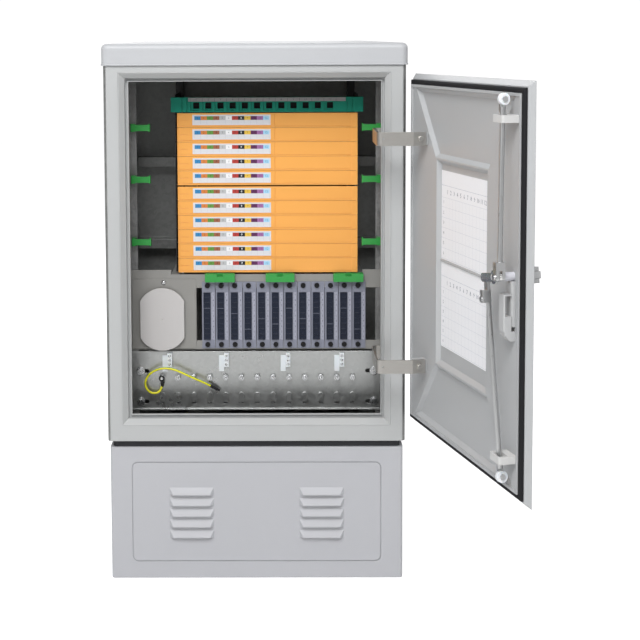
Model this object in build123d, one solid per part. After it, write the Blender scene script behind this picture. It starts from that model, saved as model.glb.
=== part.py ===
from build123d import *
import os
from math import asin, cos, degrees, radians, sin, sqrt, tan

os.makedirs("parts", exist_ok=True)

# A street cabinet for fibre cross-connection, on its plinth, with the door standing open.
# Millimetres. X to the right, Y from the front to the back, Z up.
# The origin is on the ground, at the centre of the four anchor holes in the plinth's foot.

# Overall sizes
cabinet_width = 570.0
cabinet_depth = 308.0
sheet = 1.5
body_bottom = 271.0
body_top = 990.0
body_corner = 9.0
front = -cabinet_depth / 2
back = cabinet_depth / 2
inner_half_width = cabinet_width / 2 - sheet
inner_back = back - sheet

# Roof cap
cap_overhang = 3.0
cap_skirt_height = 31.0
cap_round = 10.0
cap_crown = 4.0
cap_sheet = 2.0
cap_corner = 12.0
cap_lip = 2.5

# Plinth, its front panel and the dark seal under the body
plinth_width = cabinet_width - 8.0
plinth_depth = cabinet_depth - 7.0
plinth_height = 258.0
plinth_sheet = 2.0
plinth_corner = 6.0
plinth_foot_width = 42.0
anchor_spacing_x = plinth_width - 62.0
anchor_spacing_y = plinth_depth - 61.0
anchor_hole = 14.0
seal_inset = 9.0
seal_width = 14.0
panel_width = plinth_width - 86.0
panel_height = 193.0
panel_centre_z = 131.0
panel_corner = 10.0
panel_gap = 1.5
panel_ledge = 9.0
louvre_width = 85.0
louvre_height = 14.0
louvre_pitch = 21.0
louvre_rise = 7.0
louvre_rows = 5
louvre_centre_x = 125.0
louvre_first_top = 179.0

# Recessed door frame with its rain gutter
stile_width = 29.5
recess_half_width = cabinet_width / 2 - stile_width
recess_bottom = 302.5
recess_top = 976.0
recess_bevel = 10.0
gutter_depth = 20.0
gutter_width = 6.5
rim_height = 4.6
opening_half_width = recess_half_width - recess_bevel - gutter_width
opening_bottom = recess_bottom + recess_bevel + gutter_width
opening_top = recess_top - recess_bevel - gutter_width

# Door: a bevelled outer skin, a gasket and a pressed inner pan
door_gap = 3.0
door_half_width = recess_half_width - door_gap
door_bottom = recess_bottom + door_gap
door_top = recess_top - door_gap
door_edge_depth = 9.0
door_flange = 15.5
gasket_margin = 11.0
gasket_width = 8.0
gasket_height = 6.0
gasket_round = 3.5
pan_margin = 19.5
pan_level = 15.0
pan_lip_height = 2.0
pan_lip_width = 5.0
pocket_depth = 7.0
pocket_wide_half = door_half_width - 41.5
pocket_narrow_half = 114.0
upper_pocket_top = 947.0
upper_pocket_bottom = 826.0
lower_pocket_top = 450.0
lower_pocket_bottom = 332.0
card_pocket_half = 109.5
card_pocket_margin = 3.0
card_width = 201.0
card_thickness = 0.6
upper_card_top = 804.5
upper_card_bottom = 645.0
lower_card_top = 640.5
lower_card_bottom = 487.0

# Door hinges: swan-neck arms on pins behind the right-hand stile
door_open_angle = 105.26
hinge_pin_inset = 14.0
hinge_pin_x = cabinet_width / 2 - hinge_pin_inset
hinge_pin_depth = 30.0
hinge_heights = (857.0, 437.5)
hinge_pin_radius = 4.0
hinge_barrel_radius = 6.5
arm_height = 25.0
arm_thickness = 4.0
arm_bend = 8.0
arm_clearance = 14.0
arm_left_x = opening_half_width - arm_clearance
arm_forward = 91.0
lug_thickness = 3.0
lug_gap = 0.4
lug_radius = 9.0
bracket_from_edge = 85.0
bracket_width = 16.0
bracket_rise = 24.0
bracket_wall = 2.0
bolt_rise = 16.0
bolt_radius = 3.0
bolt_clearance = 0.2
arm_end_rise = 5.0
fit = 0.05

# Lock: shaft, cam, two rods with rollers, guides and the swing handle
shaft_from_free_edge = 43.0
shaft_from_edge = 2 * door_half_width - shaft_from_free_edge
shaft_z = 667.0
shaft_radius = 4.0
barrel_radius = 7.0
barrel_reach = 31.5
turned_angle = 80.0
cam_level = 44.5
cam_thickness = 4.0
upper_pin_arm = 18.0
lower_pin_arm = 42.0
cam_pin_radius = 3.0
cam_hub_radius = 11.0
cam_eye_radius = 7.0
rod_radius = 4.0
upper_rod_level = 46.5
upper_rod_end_level = 35.0
lower_rod_level = 41.0
lower_rod_end_level = 33.0
rod_eye_thickness = 5.0
rod_eye_half_width = 6.0
clevis_near = 39.4
clevis_far = 54.5
clevis_gap = 4.6
clevis_slot = 10.0
clevis_length = 23.0
link_block_near = 37.0
link_block_far = 52.0
link_block_start = 20.0
link_block_end = 40.0
link_bolt_from_pin = 34.5
link_bolt_radius = 4.0
roller_radius = 9.5
roller_width = 8.2
roller_axle_radius = 2.5
upper_roller_z = 944.0
lower_roller_z = 349.0
fork_thickness = 4.0
guide_from_roller = 30.0
guide_height = 12.0
guide_half_width = 18.5
guide_reach = 44.5
guide_slot_half = 13.5
guide_slot_near = 28.0
guide_slot_far = 42.0
housing_width = 34.0
housing_top = 694.0
housing_bottom = 548.0
housing_plate = 8.0
housing_back_width = 18.0
housing_back_top = 660.0
housing_back_bottom = 588.0
housing_back_reach = 22.0
clamp_half_width = 10.0
clamp_top_z = 640.0
clamp_block_top = 605.0
clamp_block_bottom = 581.0
clamp_foot_bottom = 566.0
clamp_level = 35.0
clamp_foot_level = 33.0
strap_thickness = 2.5
lever_level = 21.0
lifted_angle = 25.0
lever_pin_radius = 2.0
lever_head_radius = 9.0
lever_length = 132.0
lever_width = 26.0
lever_thickness = 15.0
head_width = 12.0

# Equipment inside the body
plate_front = front + 116.0
plate_sheet = 2.0
rail_flange = 47.5
rail_inner_x = inner_half_width - rail_flange
rail_depth = 38.0
mid_plate_bottom = 422.0
mid_plate_top = 582.0
shelf_top = 573.0
shelf_left = -170.0
shelf_right = 210.0
plate_side_gap = 21.5
mid_plate_half = inner_half_width - plate_side_gap
shelf_depth = 160.0
aperture_left = -120.0
aperture_right = 249.0
aperture_bottom = 440.0
aperture_top = 546.0
blank_left = -mid_plate_half + 14.0
blank_right = -121.0
blank_bottom = 424.0
blank_top = 564.0
disc_x = -188.0
disc_z = 484.0
disc_half_width = 44.0
disc_end_radius = 50.0
disc_arc_offset = 13.0
disc_standoff = 5.0
disc_thickness = 3.0
disc_screw_x = -185.0
disc_screw_z = 557.0

# Splitter cassettes
cassette_count = 12
cassette_pitch = 27.17
cassette_first_x = -109.0
cassette_bottom = 424.5
cassette_top = 558.5
cassette_gap = 1.0
cassette_faceplate = 2.0
cassette_body_width = 24.0
cassette_body_depth = 100.0
port_left = 3.0
port_width = 14.0
port_bottom = 442.0
port_top = 537.0
port_rise = 2.5
port_count = 9
rivet_offset = 11.0
rivet_low_z = 432.5
rivet_high_z = 551.0
rivet_radius = 5.0
rivet_head = 3.0

# Swing-out splice trays on their hinge bracket
tray_count = 11
tray_left = -155.0
tray_right = 200.0
tray_front = plate_front - 2.0
tray_top = 894.0
tray_height = 28.1
tray_gap = 0.5
tray_block_gap = 2.4
upper_block_trays = 5
tray_depth = 150.0
tray_wall = 1.8
tray_basin_height = 17.0
tray_pin_x = -147.0
tray_pin_back = 9.0
tray_pin_radius = 2.0
knuckle_radius = 5.5
knuckle_right = -133.0
knuckle_cut = 1.5
face_groove = 0.7
lip_height = 2.6
basin_left = -125.0
grip_width = 11.0
grip_rise = 1.5
step_x = 37.0
step_groove = 0.8
lug_plate = 1.6
side_plate_x = -161.0
post_width = 16.0
post_depth = 22.0
post_back_gap = 33.0
left_post_x = -160.0
right_post_x = 194.0
rib_bottom = 773.0
rib_top = 793.0
lower_rib_bottom = 600.0
rib_half = inner_half_width - 33.5

# Parking block for spare connectors
parking_left = -167.0
parking_right = 211.0
parking_bottom = 896.0
parking_top = 925.0
parking_depth = 24.0
parking_count = 12
parking_first_x = -117.0
parking_pitch = 23.9
parking_hole = 12.0
parking_hole_z = 909.0
parking_recess = 14.0
field_depth = 2.0
parking_rib = 6.5
field_bottom = 899.0
strip_left = -133.0
strip_right = 177.0
strip_bottom = 917.0
strip_top = 924.5
strip_thickness = 1.0

# Fibre hooks and clips
hook_heights = (866.0, 764.0, 640.0)
hook_outer_x = rail_inner_x + 10.0
hook_inner_x = hook_outer_x - 38.0
hook_height = 15.0
hook_wall = 3.0
hook_reach = 14.0
clip_spans = ((-102.0, -43.0), (18.0, 75.0), (152.0, 211.0))
clip_bottom = 560.0
clip_top = 576.0
clip_reach = 16.0

# Earth plate with its bolts, studs, lances and cable clamps
earth_bottom = 300.0
earth_top = 418.0
earth_half = mid_plate_half
earth_bolt_x = rail_inner_x - 3.0
earth_bolt_heights = (378.0, 316.0)
earth_slot_length = 20.0
earth_slot_height = 8.0
stud_count = 13
stud_first_x = -190.0
stud_pitch = 31.67
stud_z = 366.0
stud_radius = 3.0
stud_length = 15.0
stud_nut_radius = 5.5
lance_width = 10.7
lance_bottom = 316.0
lance_proud = 3.5
lance_mouth = 3.0
lance_top = 335.0
earth_fold = 10.0
earth_lip = 5.0
earth_slot_shift = 7.0
clamp_lefts = (-189.0, -76.0, 47.0, 154.0)
clamp_width = 19.5
clamp_bottom = 378.0
clamp_top = 415.0
clamp_thickness = 8.0

# Earth wire from the first stud to its free lug: height and place of each point of the route
wire_diameter = 4.5
wire_points = (
    (-190.0, 8.0, 349.5),
    (-192.5, 8.5, 340.5),
    (-201.0, 9.5, 335.0),
    (-211.5, 11.0, 336.5),
    (-219.5, 12.5, 343.5),
    (-223.0, 14.0, 353.5),
    (-221.5, 15.5, 364.5),
    (-215.5, 17.0, 374.5),
    (-205.5, 18.5, 382.5),
    (-193.5, 19.5, 387.5),
    (-179.5, 20.0, 388.8),
    (-165.5, 20.0, 386.5),
    (-151.0, 20.0, 380.8),
    (-135.5, 20.0, 373.0),
    (-119.5, 19.5, 365.8),
    (-105.0, 17.5, 358.8),
    (-93.0, 14.0, 351.6),
)

# Cable entry
floor_level = 275.0
floor_sheet = 2.0
entry_radius = 24.0
entry_places = ((-165.0, 60.0), (-55.0, 60.0), (55.0, 60.0), (165.0, 60.0))
grommet_lip = 4.0
grommet_height = 9.0

parts = {}


def keep(name, *solids):
    """File the finished piece, one solid or a group of like solids, under its name."""
    pieces = [s for item in solids for s in item.solids()]
    parts[name] = pieces[0] if len(pieces) == 1 else Compound(pieces)


def slab(x0, x1, y0, y1, z0, z1):
    """A block between two corners."""
    return Pos((x0 + x1) / 2, (y0 + y1) / 2, (z0 + z1) / 2) * Box(abs(x1 - x0), abs(y1 - y0), abs(z1 - z0))


def bar(start, end, radius):
    """A round bar from one point to another."""
    run = Vector(*end) - Vector(*start)
    return Plane(origin=start, z_dir=run) * Pos(0, 0, run.length / 2) * Cylinder(radius, run.length)


def upright(y):
    """The plane that faces the front at depth y, its own y axis pointing up."""
    return Plane(origin=(0, y, 0), x_dir=(1, 0, 0), z_dir=(0, -1, 0))


def frame_face(y, half_width, bottom, top):
    """A rectangle in the upright plane at depth y."""
    return upright(y) * Pos(0, (bottom + top) / 2) * Rectangle(2 * half_width, top - bottom)


def band(y0, inset0, y1, inset1, thickness):
    """A four-sided ring that follows the recess: its inner face runs from inset0 at y0 to inset1 at y1."""
    def solid(grow):
        faces = [
            frame_face(y, recess_half_width - i + grow, recess_bottom + i - grow, recess_top - i + grow)
            for y, i in ((y0, inset0), (y1, inset1))
        ]
        return loft(faces, ruled=True)
    return solid(thickness) - solid(0)


def mirrored(solid):
    """The same piece on the other side of the cabinet's middle plane."""
    return mirror(solid, about=Plane.YZ)


# Body shell: folded sheet with front stiles, a roof, two back ribs and a flange to stand on
body_outline = RectangleRounded(cabinet_width, cabinet_depth, body_corner)
body_inside = RectangleRounded(cabinet_width - 2 * sheet, cabinet_depth - 2 * sheet, body_corner - sheet)
shell = extrude(Pos(0, 0, body_bottom) * body_outline, body_top - body_bottom)
shell -= extrude(Pos(0, 0, body_bottom + sheet) * body_inside, body_top - body_bottom - 2 * sheet)
flange_reach = seal_inset + seal_width
shell -= slab(-cabinet_width / 2 + flange_reach, cabinet_width / 2 - flange_reach, front + flange_reach,
              back - flange_reach, body_bottom - 1, body_bottom + sheet + 1)
shell -= slab(-recess_half_width - sheet, recess_half_width + sheet, front - 1, front + sheet + 1,
              recess_bottom - sheet, recess_top + sheet)
post_rear = inner_back - post_back_gap
for low in (rib_bottom, lower_rib_bottom):
    high = low + rib_top - rib_bottom
    rib = slab(-rib_half, rib_half, post_rear, inner_back + 0.5 * sheet, low, high)
    shell += rib - slab(-rib_half - 1, rib_half + 1, post_rear + sheet, inner_back, low + sheet,
                        high - sheet)
keep("body_shell", shell)

# Door frame: bevel, gutter wall, ledge and the raised rim that the gasket closes on
inner_inset = recess_bevel + gutter_width
frame = band(front, 0, front + recess_bevel, recess_bevel, sheet)
frame += band(front + recess_bevel, recess_bevel, front + gutter_depth, recess_bevel, sheet)
ledge = loft([frame_face(y, recess_half_width - recess_bevel + sheet, recess_bottom + recess_bevel - sheet,
                         recess_top - recess_bevel + sheet)
              for y in (front + gutter_depth, front + gutter_depth + sheet)], ruled=True)
rim = loft([frame_face(y, opening_half_width + sheet, opening_bottom - sheet, opening_top + sheet)
            for y in (front + gutter_depth - rim_height, front + gutter_depth)], ruled=True)
opening = slab(-opening_half_width, opening_half_width, front, front + 2 * gutter_depth,
               opening_bottom, opening_top)
keep("door_frame", frame + (ledge + rim - opening))

# Roof cap: a deep-drawn lid with a rounded edge, a slight crown and a turned lower lip
cap_width = cabinet_width + 2 * cap_overhang
cap_depth = cabinet_depth + 2 * cap_overhang
cap_top = body_top + cap_skirt_height + cap_round


def cap_form(shrink):
    """The cap's outer form, made smaller on every side by the given amount."""
    outline = RectangleRounded(cap_width - 2 * shrink, cap_depth - 2 * shrink, cap_corner - shrink)
    block = extrude(Pos(0, 0, body_top) * outline, cap_top - shrink - body_top)
    block = fillet(block.faces().sort_by(Axis.Z)[-1].edges(), cap_round - shrink)
    base = Pos(0, 0, cap_top - shrink) * Rectangle(cap_width - 2 * cap_round, cap_depth - 2 * cap_round)
    peak = Pos(0, 0, cap_top - shrink + cap_crown) * Rectangle(cap_width * 0.7, cap_depth * 0.5)
    return block + loft([base, peak], ruled=True)


lip_ring = RectangleRounded(cap_width + 2 * cap_lip * 0.4, cap_depth + 2 * cap_lip * 0.4, cap_corner)
lip = extrude(Pos(0, 0, body_top) * lip_ring, cap_lip)
cap = cap_form(0) + lip - cap_form(cap_sheet)
cap_mouth = RectangleRounded(cap_width - 2 * cap_sheet, cap_depth - 2 * cap_sheet, cap_corner - cap_sheet)
cap -= extrude(Pos(0, 0, body_top - 1) * cap_mouth, 4)
cap_half = cap_width / 2 - cap_sheet
cap += slab(-cap_half, cap_half, front + 10, front + 30, body_top, body_top + 2)
cap += slab(-cap_half, cap_half, back - 30, back - 10, body_top, body_top + 2)
keep("roof_cap", cap)

# Plinth: four walls on an inward foot with anchor holes
plinth_outline = RectangleRounded(plinth_width, plinth_depth, plinth_corner)
plinth_inside = RectangleRounded(plinth_width - 2 * plinth_sheet, plinth_depth - 2 * plinth_sheet,
                                 plinth_corner - plinth_sheet)
plinth = extrude(plinth_outline, plinth_height)
plinth -= extrude(Pos(0, 0, 2 * plinth_sheet) * plinth_inside, plinth_height - 3 * plinth_sheet)
plinth -= extrude(Rectangle(plinth_width - 2 * plinth_foot_width, plinth_depth - 2 * plinth_foot_width),
                  plinth_height)
plinth_front = -plinth_depth / 2
panel_bottom = panel_centre_z - panel_height / 2
panel_opening = Rectangle(panel_width - 2 * panel_ledge, panel_height - 2 * panel_ledge)
plinth -= extrude(upright(plinth_front - 1) * Pos(0, panel_centre_z) * panel_opening, -10)
plinth -= extrude(upright(plinth_front) * Pos(0, panel_centre_z)
                  * RectangleRounded(panel_width + 2 * panel_gap, panel_height + 2 * panel_gap,
                                     panel_corner + panel_gap), -plinth_sheet / 2)
for x in (-anchor_spacing_x / 2, anchor_spacing_x / 2):
    for y in (-anchor_spacing_y / 2, anchor_spacing_y / 2):
        plinth -= Pos(x, y, plinth_sheet) * Cylinder(anchor_hole / 2, 6 * plinth_sheet)
keep("plinth_frame", plinth)

# Plinth front panel: a lift-off cover with two stacks of pressed louvres, open below
panel_rear = plinth_front + plinth_sheet / 2
panel = extrude(upright(panel_rear) * Pos(0, panel_centre_z)
                * RectangleRounded(panel_width, panel_height, panel_corner), plinth_sheet)
panel_face = panel_rear - plinth_sheet


def louvre(centre_x, top_z, grow):
    """A wedge that leaves the sheet at its top and stands furthest out at its open lower edge."""
    lower = top_z - louvre_height
    side = Plane(origin=(centre_x - louvre_width / 2 - grow, 0, 0), x_dir=(0, 1, 0), z_dir=(1, 0, 0))
    wedge = Polyline((panel_face + 1, top_z + grow), (panel_face, top_z + grow),
                     (panel_face - louvre_rise - grow, lower + 2), (panel_face - louvre_rise - grow, lower),
                     (panel_face + 1, lower), close=True)
    block = extrude(side * make_face(wedge), louvre_width + 2 * grow)
    for sign in (-1, 1):
        cutter = Pos(centre_x + sign * (louvre_width / 2 + grow), panel_face - louvre_rise - grow,
                     lower) * Rot(0, 0, sign * 45)
        block -= cutter * Box(1.4 * louvre_rise, 1.4 * louvre_rise, 3 * louvre_height)
    return block


for centre_x in (-louvre_centre_x, louvre_centre_x):
    for row in range(louvre_rows):
        top_z = louvre_first_top - row * louvre_pitch
        panel += louvre(centre_x, top_z, 0)
        hollow = Pos(0, sheet, 0) * louvre(centre_x, top_z - 1.0, -sheet)
        panel -= hollow
        mouth_half = louvre_width / 2 - louvre_rise - 1
        panel -= slab(centre_x - mouth_half, centre_x + mouth_half, panel_face - louvre_rise + sheet,
                      panel_face + 1.5 * plinth_sheet, top_z - louvre_height - 1, top_z - louvre_height + 4)
keep("plinth_front_panel", panel)

# Dark seal between plinth and body
seal_outer = RectangleRounded(cabinet_width - 2 * seal_inset, cabinet_depth - 2 * seal_inset, body_corner)
seal_inner = Rectangle(cabinet_width - 2 * flange_reach, cabinet_depth - 2 * flange_reach)
keep("plinth_seal",
     extrude(Pos(0, 0, plinth_height) * (seal_outer - seal_inner), body_bottom - plinth_height))

# Floor plate with cable entries and blind rubber grommets
floor_outline = RectangleRounded(2 * inner_half_width - 2, 2 * inner_back - 2, body_corner)
floor = extrude(Pos(0, 0, body_bottom + sheet) * floor_outline, floor_sheet)
grommets = []
for x, y in entry_places:
    floor -= Pos(x, y, floor_level) * Cylinder(entry_radius, 20)
    grommet = Pos(x, y, body_bottom + sheet + floor_sheet / 2) * Cylinder(entry_radius, grommet_height)
    collar = Pos(x, y, body_bottom + sheet + floor_sheet + 1.5) * Cylinder(entry_radius + grommet_lip, 3)
    grommets.append(grommet + collar)
keep("floor_plate", floor)
keep("cable_grommets", *grommets)

# Upright rails at the side walls, which carry the plates and the fibre hooks
rail_front = plate_front + plate_sheet
rail_bottom = body_bottom + sheet + floor_sheet
rail = slab(rail_inner_x, inner_half_width, rail_front, rail_front + sheet, rail_bottom, body_top - sheet)
rail += slab(inner_half_width - sheet, inner_half_width, rail_front, rail_front + rail_depth,
             rail_bottom, body_top - sheet)
keep("side_rails", rail, mirrored(rail))

# Mid plate: front sheet with the cassette aperture, folded back behind the trays into a shelf
mid_plate = slab(-mid_plate_half, mid_plate_half, plate_front, rail_front, mid_plate_bottom, mid_plate_top)
mid_plate -= slab(shelf_left, shelf_right, plate_front - 1, rail_front + 1, shelf_top, mid_plate_top + 1)
mid_plate += slab(shelf_left, shelf_right, plate_front, plate_front + shelf_depth,
                  shelf_top - plate_sheet, shelf_top)
mid_plate -= slab(aperture_left, aperture_right, plate_front - 1, rail_front + 1, aperture_bottom,
                  aperture_top)
keep("mid_plate", mid_plate)

# Blank panel at the left of the mid plate
blank = slab(blank_left, blank_right, plate_front - sheet, plate_front, blank_bottom, blank_top)
blank = fillet(blank.edges().filter_by(Axis.Y), 3)
keep("blank_panel", blank)

# Disc cover: a round cover cut straight at both sides, on a short hub
disc_face = plate_front - sheet - disc_standoff
arcs = [Pos(disc_x, disc_z + side * disc_arc_offset) * Circle(disc_end_radius) for side in (-1, 1)]
straight = Pos(disc_x, disc_z) * Rectangle(2 * disc_half_width, 4 * disc_end_radius)
middle = Pos(disc_x, disc_z) * Rectangle(2 * disc_half_width, 2 * disc_arc_offset)
disc_outline = (arcs[0] + arcs[1] + middle) & straight
disc = extrude(upright(disc_face) * disc_outline, disc_thickness)
disc = fillet(disc.faces().sort_by(Axis.Y)[0].edges(), 1.2)
disc += bar((disc_x, disc_face - 0.5, disc_z), (disc_x, plate_front - sheet, disc_z), 16)
disc -= Pos(disc_x, disc_face - disc_thickness, disc_z) * Sphere(1.6)
keep("disc_cover", disc)


def dome_screw(x, y, z, radius, height):
    """A domed screw head that stands on the upright face at depth y."""
    sphere_radius = (radius ** 2 + height ** 2) / (2 * height)
    head = Pos(x, y + sphere_radius - height, z) * Sphere(sphere_radius)
    head &= slab(x - 2 * radius, x + 2 * radius, y - 2 * height, y, z - 2 * radius, z + 2 * radius)
    cross = Box(radius, 1.2, 1.2) + Box(1.2, 1.2, radius)
    return head - Pos(x, y - height, z) * cross


# Splitter cassettes: flanged boxes through the aperture, each with a strip of ports and two push rivets
cassettes = []
port_strips = []
rivets = []
faceplate_face = plate_front - cassette_faceplate
for n in range(cassette_count):
    x = cassette_first_x + n * cassette_pitch
    right = x + cassette_pitch - cassette_gap
    body_left = (x + right - cassette_body_width) / 2
    cassette = slab(x, right, faceplate_face, plate_front, cassette_bottom, cassette_top)
    cassette += slab(body_left, body_left + cassette_body_width, plate_front - 0.5,
                     plate_front + cassette_body_depth, aperture_bottom + 0.5, aperture_top - 0.5)
    cassette -= slab(x + port_left, x + port_left + port_width, faceplate_face - 1, plate_front,
                     port_bottom, port_top)
    strip = slab(x + port_left + 0.2, x + port_left + port_width - 0.2, faceplate_face - port_rise,
                 plate_front, port_bottom + 0.2, port_top - 0.2)
    step = (port_top - port_bottom) / port_count
    for k in range(port_count):
        low = port_bottom + k * step
        strip -= slab(x + port_left + 2, x + port_left + port_width - 2, faceplate_face - port_rise - 1,
                      faceplate_face - port_rise + 1.5, low + 1.5, low + step - 1.5)
    for z in (rivet_low_z, rivet_high_z):
        cassette -= bar((x + rivet_offset, faceplate_face - 1, z), (x + rivet_offset, plate_front + 1, z),
                        2.2)
        head = bar((x + rivet_offset, faceplate_face - rivet_head, z), (x + rivet_offset, faceplate_face, z),
                   rivet_radius)
        rivets.append(head + bar((x + rivet_offset, faceplate_face - 1, z),
                                 (x + rivet_offset, plate_front - 0.1, z), 2.1))
    cassettes.append(cassette)
    port_strips.append(strip)
keep("splitter_cassettes", *cassettes)
keep("splitter_port_strips", *port_strips)
keep("push_rivets", *rivets)

# Tray hinge bracket: a side plate on its rear post, with a lug above and below each tray
tray_pin_y = tray_front + tray_pin_back
tray_sweep = tray_right - tray_pin_x + 0.6
side_plate_front = tray_front + tray_pin_back + 13.0
post_front = post_rear - post_depth
rack_bottom = shelf_top
rack_top = body_top - sheet
tray_tops = [tray_top - n * (tray_height + tray_gap) - (tray_block_gap if n >= upper_block_trays else 0)
             for n in range(tray_count)]
tray_stack_bottom = tray_tops[-1] - tray_height
lug_levels = [top - tray_height - tray_gap / 2 for top in tray_tops]
lug_levels.insert(0, tray_top + tray_gap / 2)
lug_levels[upper_block_trays] -= tray_block_gap / 2
left_post = slab(left_post_x - post_width / 2, left_post_x + post_width / 2, post_front, post_rear,
                 rack_bottom, rack_top)
bracket = left_post + slab(side_plate_x, side_plate_x + sheet, side_plate_front, post_rear,
                           tray_stack_bottom - 1, parking_top + 5)
for level in lug_levels:
    lug = slab(side_plate_x, tray_pin_x + knuckle_radius, side_plate_front - 2, side_plate_front + 8,
               level - lug_plate / 2, level + lug_plate / 2)
    lug += slab(tray_pin_x - knuckle_radius, tray_pin_x + knuckle_radius, tray_pin_y, side_plate_front,
                level - lug_plate / 2, level + lug_plate / 2)
    lug += Pos(tray_pin_x, tray_pin_y, level) * Cylinder(knuckle_radius, lug_plate)
    bracket += lug - Pos(tray_pin_x, tray_pin_y, level) * Cylinder(tray_pin_radius + fit, 2 * lug_plate)
keep("tray_hinge_bracket", bracket)

tray_pin_bottom = lug_levels[-1] - lug_plate / 2 - 1.5
tray_pin_top = lug_levels[0] + lug_plate / 2 + 0.2
tray_pin = bar((tray_pin_x, tray_pin_y, tray_pin_bottom), (tray_pin_x, tray_pin_y, tray_pin_top),
               tray_pin_radius)
tray_pin += bar((tray_pin_x, tray_pin_y, tray_pin_bottom),
                (tray_pin_x, tray_pin_y, lug_levels[-1] - lug_plate / 2), tray_pin_radius + 1.5)
keep("tray_hinge_pin", tray_pin)

# Right-hand rack post with an arm that holds the parking block
right_post = slab(right_post_x - post_width / 2, right_post_x + post_width / 2, post_front, post_rear,
                  rack_bottom, rack_top)
parking_rear = tray_front - 2.0 + parking_depth
right_post += slab(right_post_x + post_width / 2 - sheet, right_post_x + post_width / 2, parking_rear,
                   post_rear, parking_bottom + 1, parking_top + 5)
keep("rack_post_right", right_post)

# Splice trays: shallow basins behind a tall front, rounded at the back right so that each one can swing out
basin_outline = Pos((basin_left + tray_right) / 2, tray_front + tray_depth / 2) * Rectangle(
    tray_right - basin_left, tray_depth)
basin_outline &= Pos(tray_pin_x, tray_pin_y) * Circle(tray_sweep)
basin_inside = offset(basin_outline, -tray_wall)
half_lug = lug_plate / 2 + 0.4
for n, top in enumerate(tray_tops):
    base = top - tray_height
    tray = extrude(Pos(0, 0, base) * basin_outline, tray_basin_height)
    tray -= extrude(Pos(0, 0, base + tray_wall) * basin_inside, tray_basin_height)
    tray += slab(knuckle_right, tray_right, tray_front, tray_front + 2.5, base, top)
    tray -= slab(step_x, step_x + 1.2, tray_front - 1, tray_front + step_groove, base - 1, top + 1)
    tray += slab(tray_right - grip_width, tray_right, tray_front - grip_rise, tray_front + 1, base, top)
    low = base + knuckle_cut
    high = top - knuckle_cut
    knuckle = slab(tray_left, knuckle_right + 1, tray_front, tray_front + 2.5, base, top)
    knuckle += slab(tray_pin_x, basin_left + 1, tray_front + 1, tray_pin_y, low, base + tray_basin_height)
    knuckle += bar((tray_pin_x, tray_pin_y, low), (tray_pin_x, tray_pin_y, high), knuckle_radius)
    knuckle += slab(tray_pin_x - knuckle_radius, tray_pin_x + knuckle_radius, tray_front + 1, tray_pin_y,
                    low, high)
    middle_z = (base + top) / 2
    knuckle -= slab(tray_left + 3, knuckle_right, tray_front - 1, tray_front + face_groove, middle_z - 0.5,
                    middle_z + 0.5)
    knuckle -= slab(tray_left + 2, tray_left + 3, tray_front - 1, tray_front + face_groove, base - 1,
                    top + 1)
    tray += knuckle
    tray -= slab(tray_left + 3, tray_right - grip_width, tray_front - 1, tray_front + face_groove,
                 base + lip_height, base + lip_height + 0.8)
    tray -= bar((tray_pin_x, tray_pin_y, base - 1), (tray_pin_x, tray_pin_y, top + 1), tray_pin_radius + fit)
    spool = Pos(60, tray_front + 85, base + tray_wall + 5.5) * (Cylinder(32, 11) - Cylinder(29, 40))
    comb = slab(-95, -25, tray_front + 60, tray_front + 100, base + 1, base + tray_wall + 6)
    for k in range(6):
        comb -= slab(-90 + 11 * k, -84 + 11 * k, tray_front + 59, tray_front + 101, base + tray_wall + 1,
                     base + 20)
    tray += spool + comb
    keep(f"tray_{n + 1:02d}", tray)

# Parking block: two wings and a row of square sockets, with a paper strip above them
parking_front = tray_front - 2.0
parking = slab(parking_left, parking_right, parking_front, parking_rear, parking_bottom, parking_top)
for n in range(parking_count):
    x = parking_first_x + n * parking_pitch
    half = parking_hole / 2
    parking -= slab(x - half, x + half, parking_front - 1, parking_front + parking_recess,
                    parking_hole_z - half, parking_hole_z + half)
    parking -= slab(x + half + parking_rib - parking_pitch, x + half, parking_front - 1,
                    parking_front + field_depth, field_bottom, strip_bottom)
for x in (strip_left - 12, strip_left - 2, strip_right + 3, strip_right + 13):
    parking -= slab(x - 1, x + 1, parking_front - 1, parking_front + 1.5, parking_bottom - 1,
                    parking_top + 1)
parking -= slab(strip_left, strip_right, parking_front - 1, parking_front + 0.6, strip_bottom - 1,
                parking_top + 1)
keep("parking_block", parking)
keep("parking_strip", slab(strip_left + 0.3, strip_right - 0.3, parking_front + 0.6 - strip_thickness,
                           parking_front + 0.6, strip_bottom, strip_top))

# Green hooks at both sides: a foot on the rail, an arm inwards and an upturned tip
hooks = []
hook_front = plate_front - hook_reach
for z in hook_heights:
    low = z - hook_height / 2
    high = z + hook_height / 2
    hook = slab(hook_outer_x - 9, hook_outer_x, hook_front, rail_front, low, high)
    hook += slab(hook_inner_x, hook_outer_x, hook_front, hook_front + hook_wall, low + 1.5, high - 1.5)
    hook += slab(hook_inner_x, hook_inner_x + hook_wall, hook_front, plate_front - 2, low, high)
    hook = fillet(hook.edges().filter_by(Axis.Z).group_by(Axis.Y)[0], 1.2)
    hooks += [hook, mirrored(hook)]
keep("fibre_hooks", *hooks)

# Lower green clips on the mid plate, above the cassettes
clips = []
for left, right in clip_spans:
    clip = slab(left, right, plate_front - clip_reach, plate_front, clip_bottom, clip_top)
    clip -= slab(left + 3, right - 3, plate_front - clip_reach + 3, plate_front - 2, clip_bottom + 3,
                 clip_top + 1)
    clip -= slab((left + right) / 2 - 6, (left + right) / 2 + 6, plate_front - clip_reach - 1,
                 plate_front - clip_reach + 4, clip_top - 5, clip_top + 1)
    clips.append(clip)
keep("fibre_clips", *clips)


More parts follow.
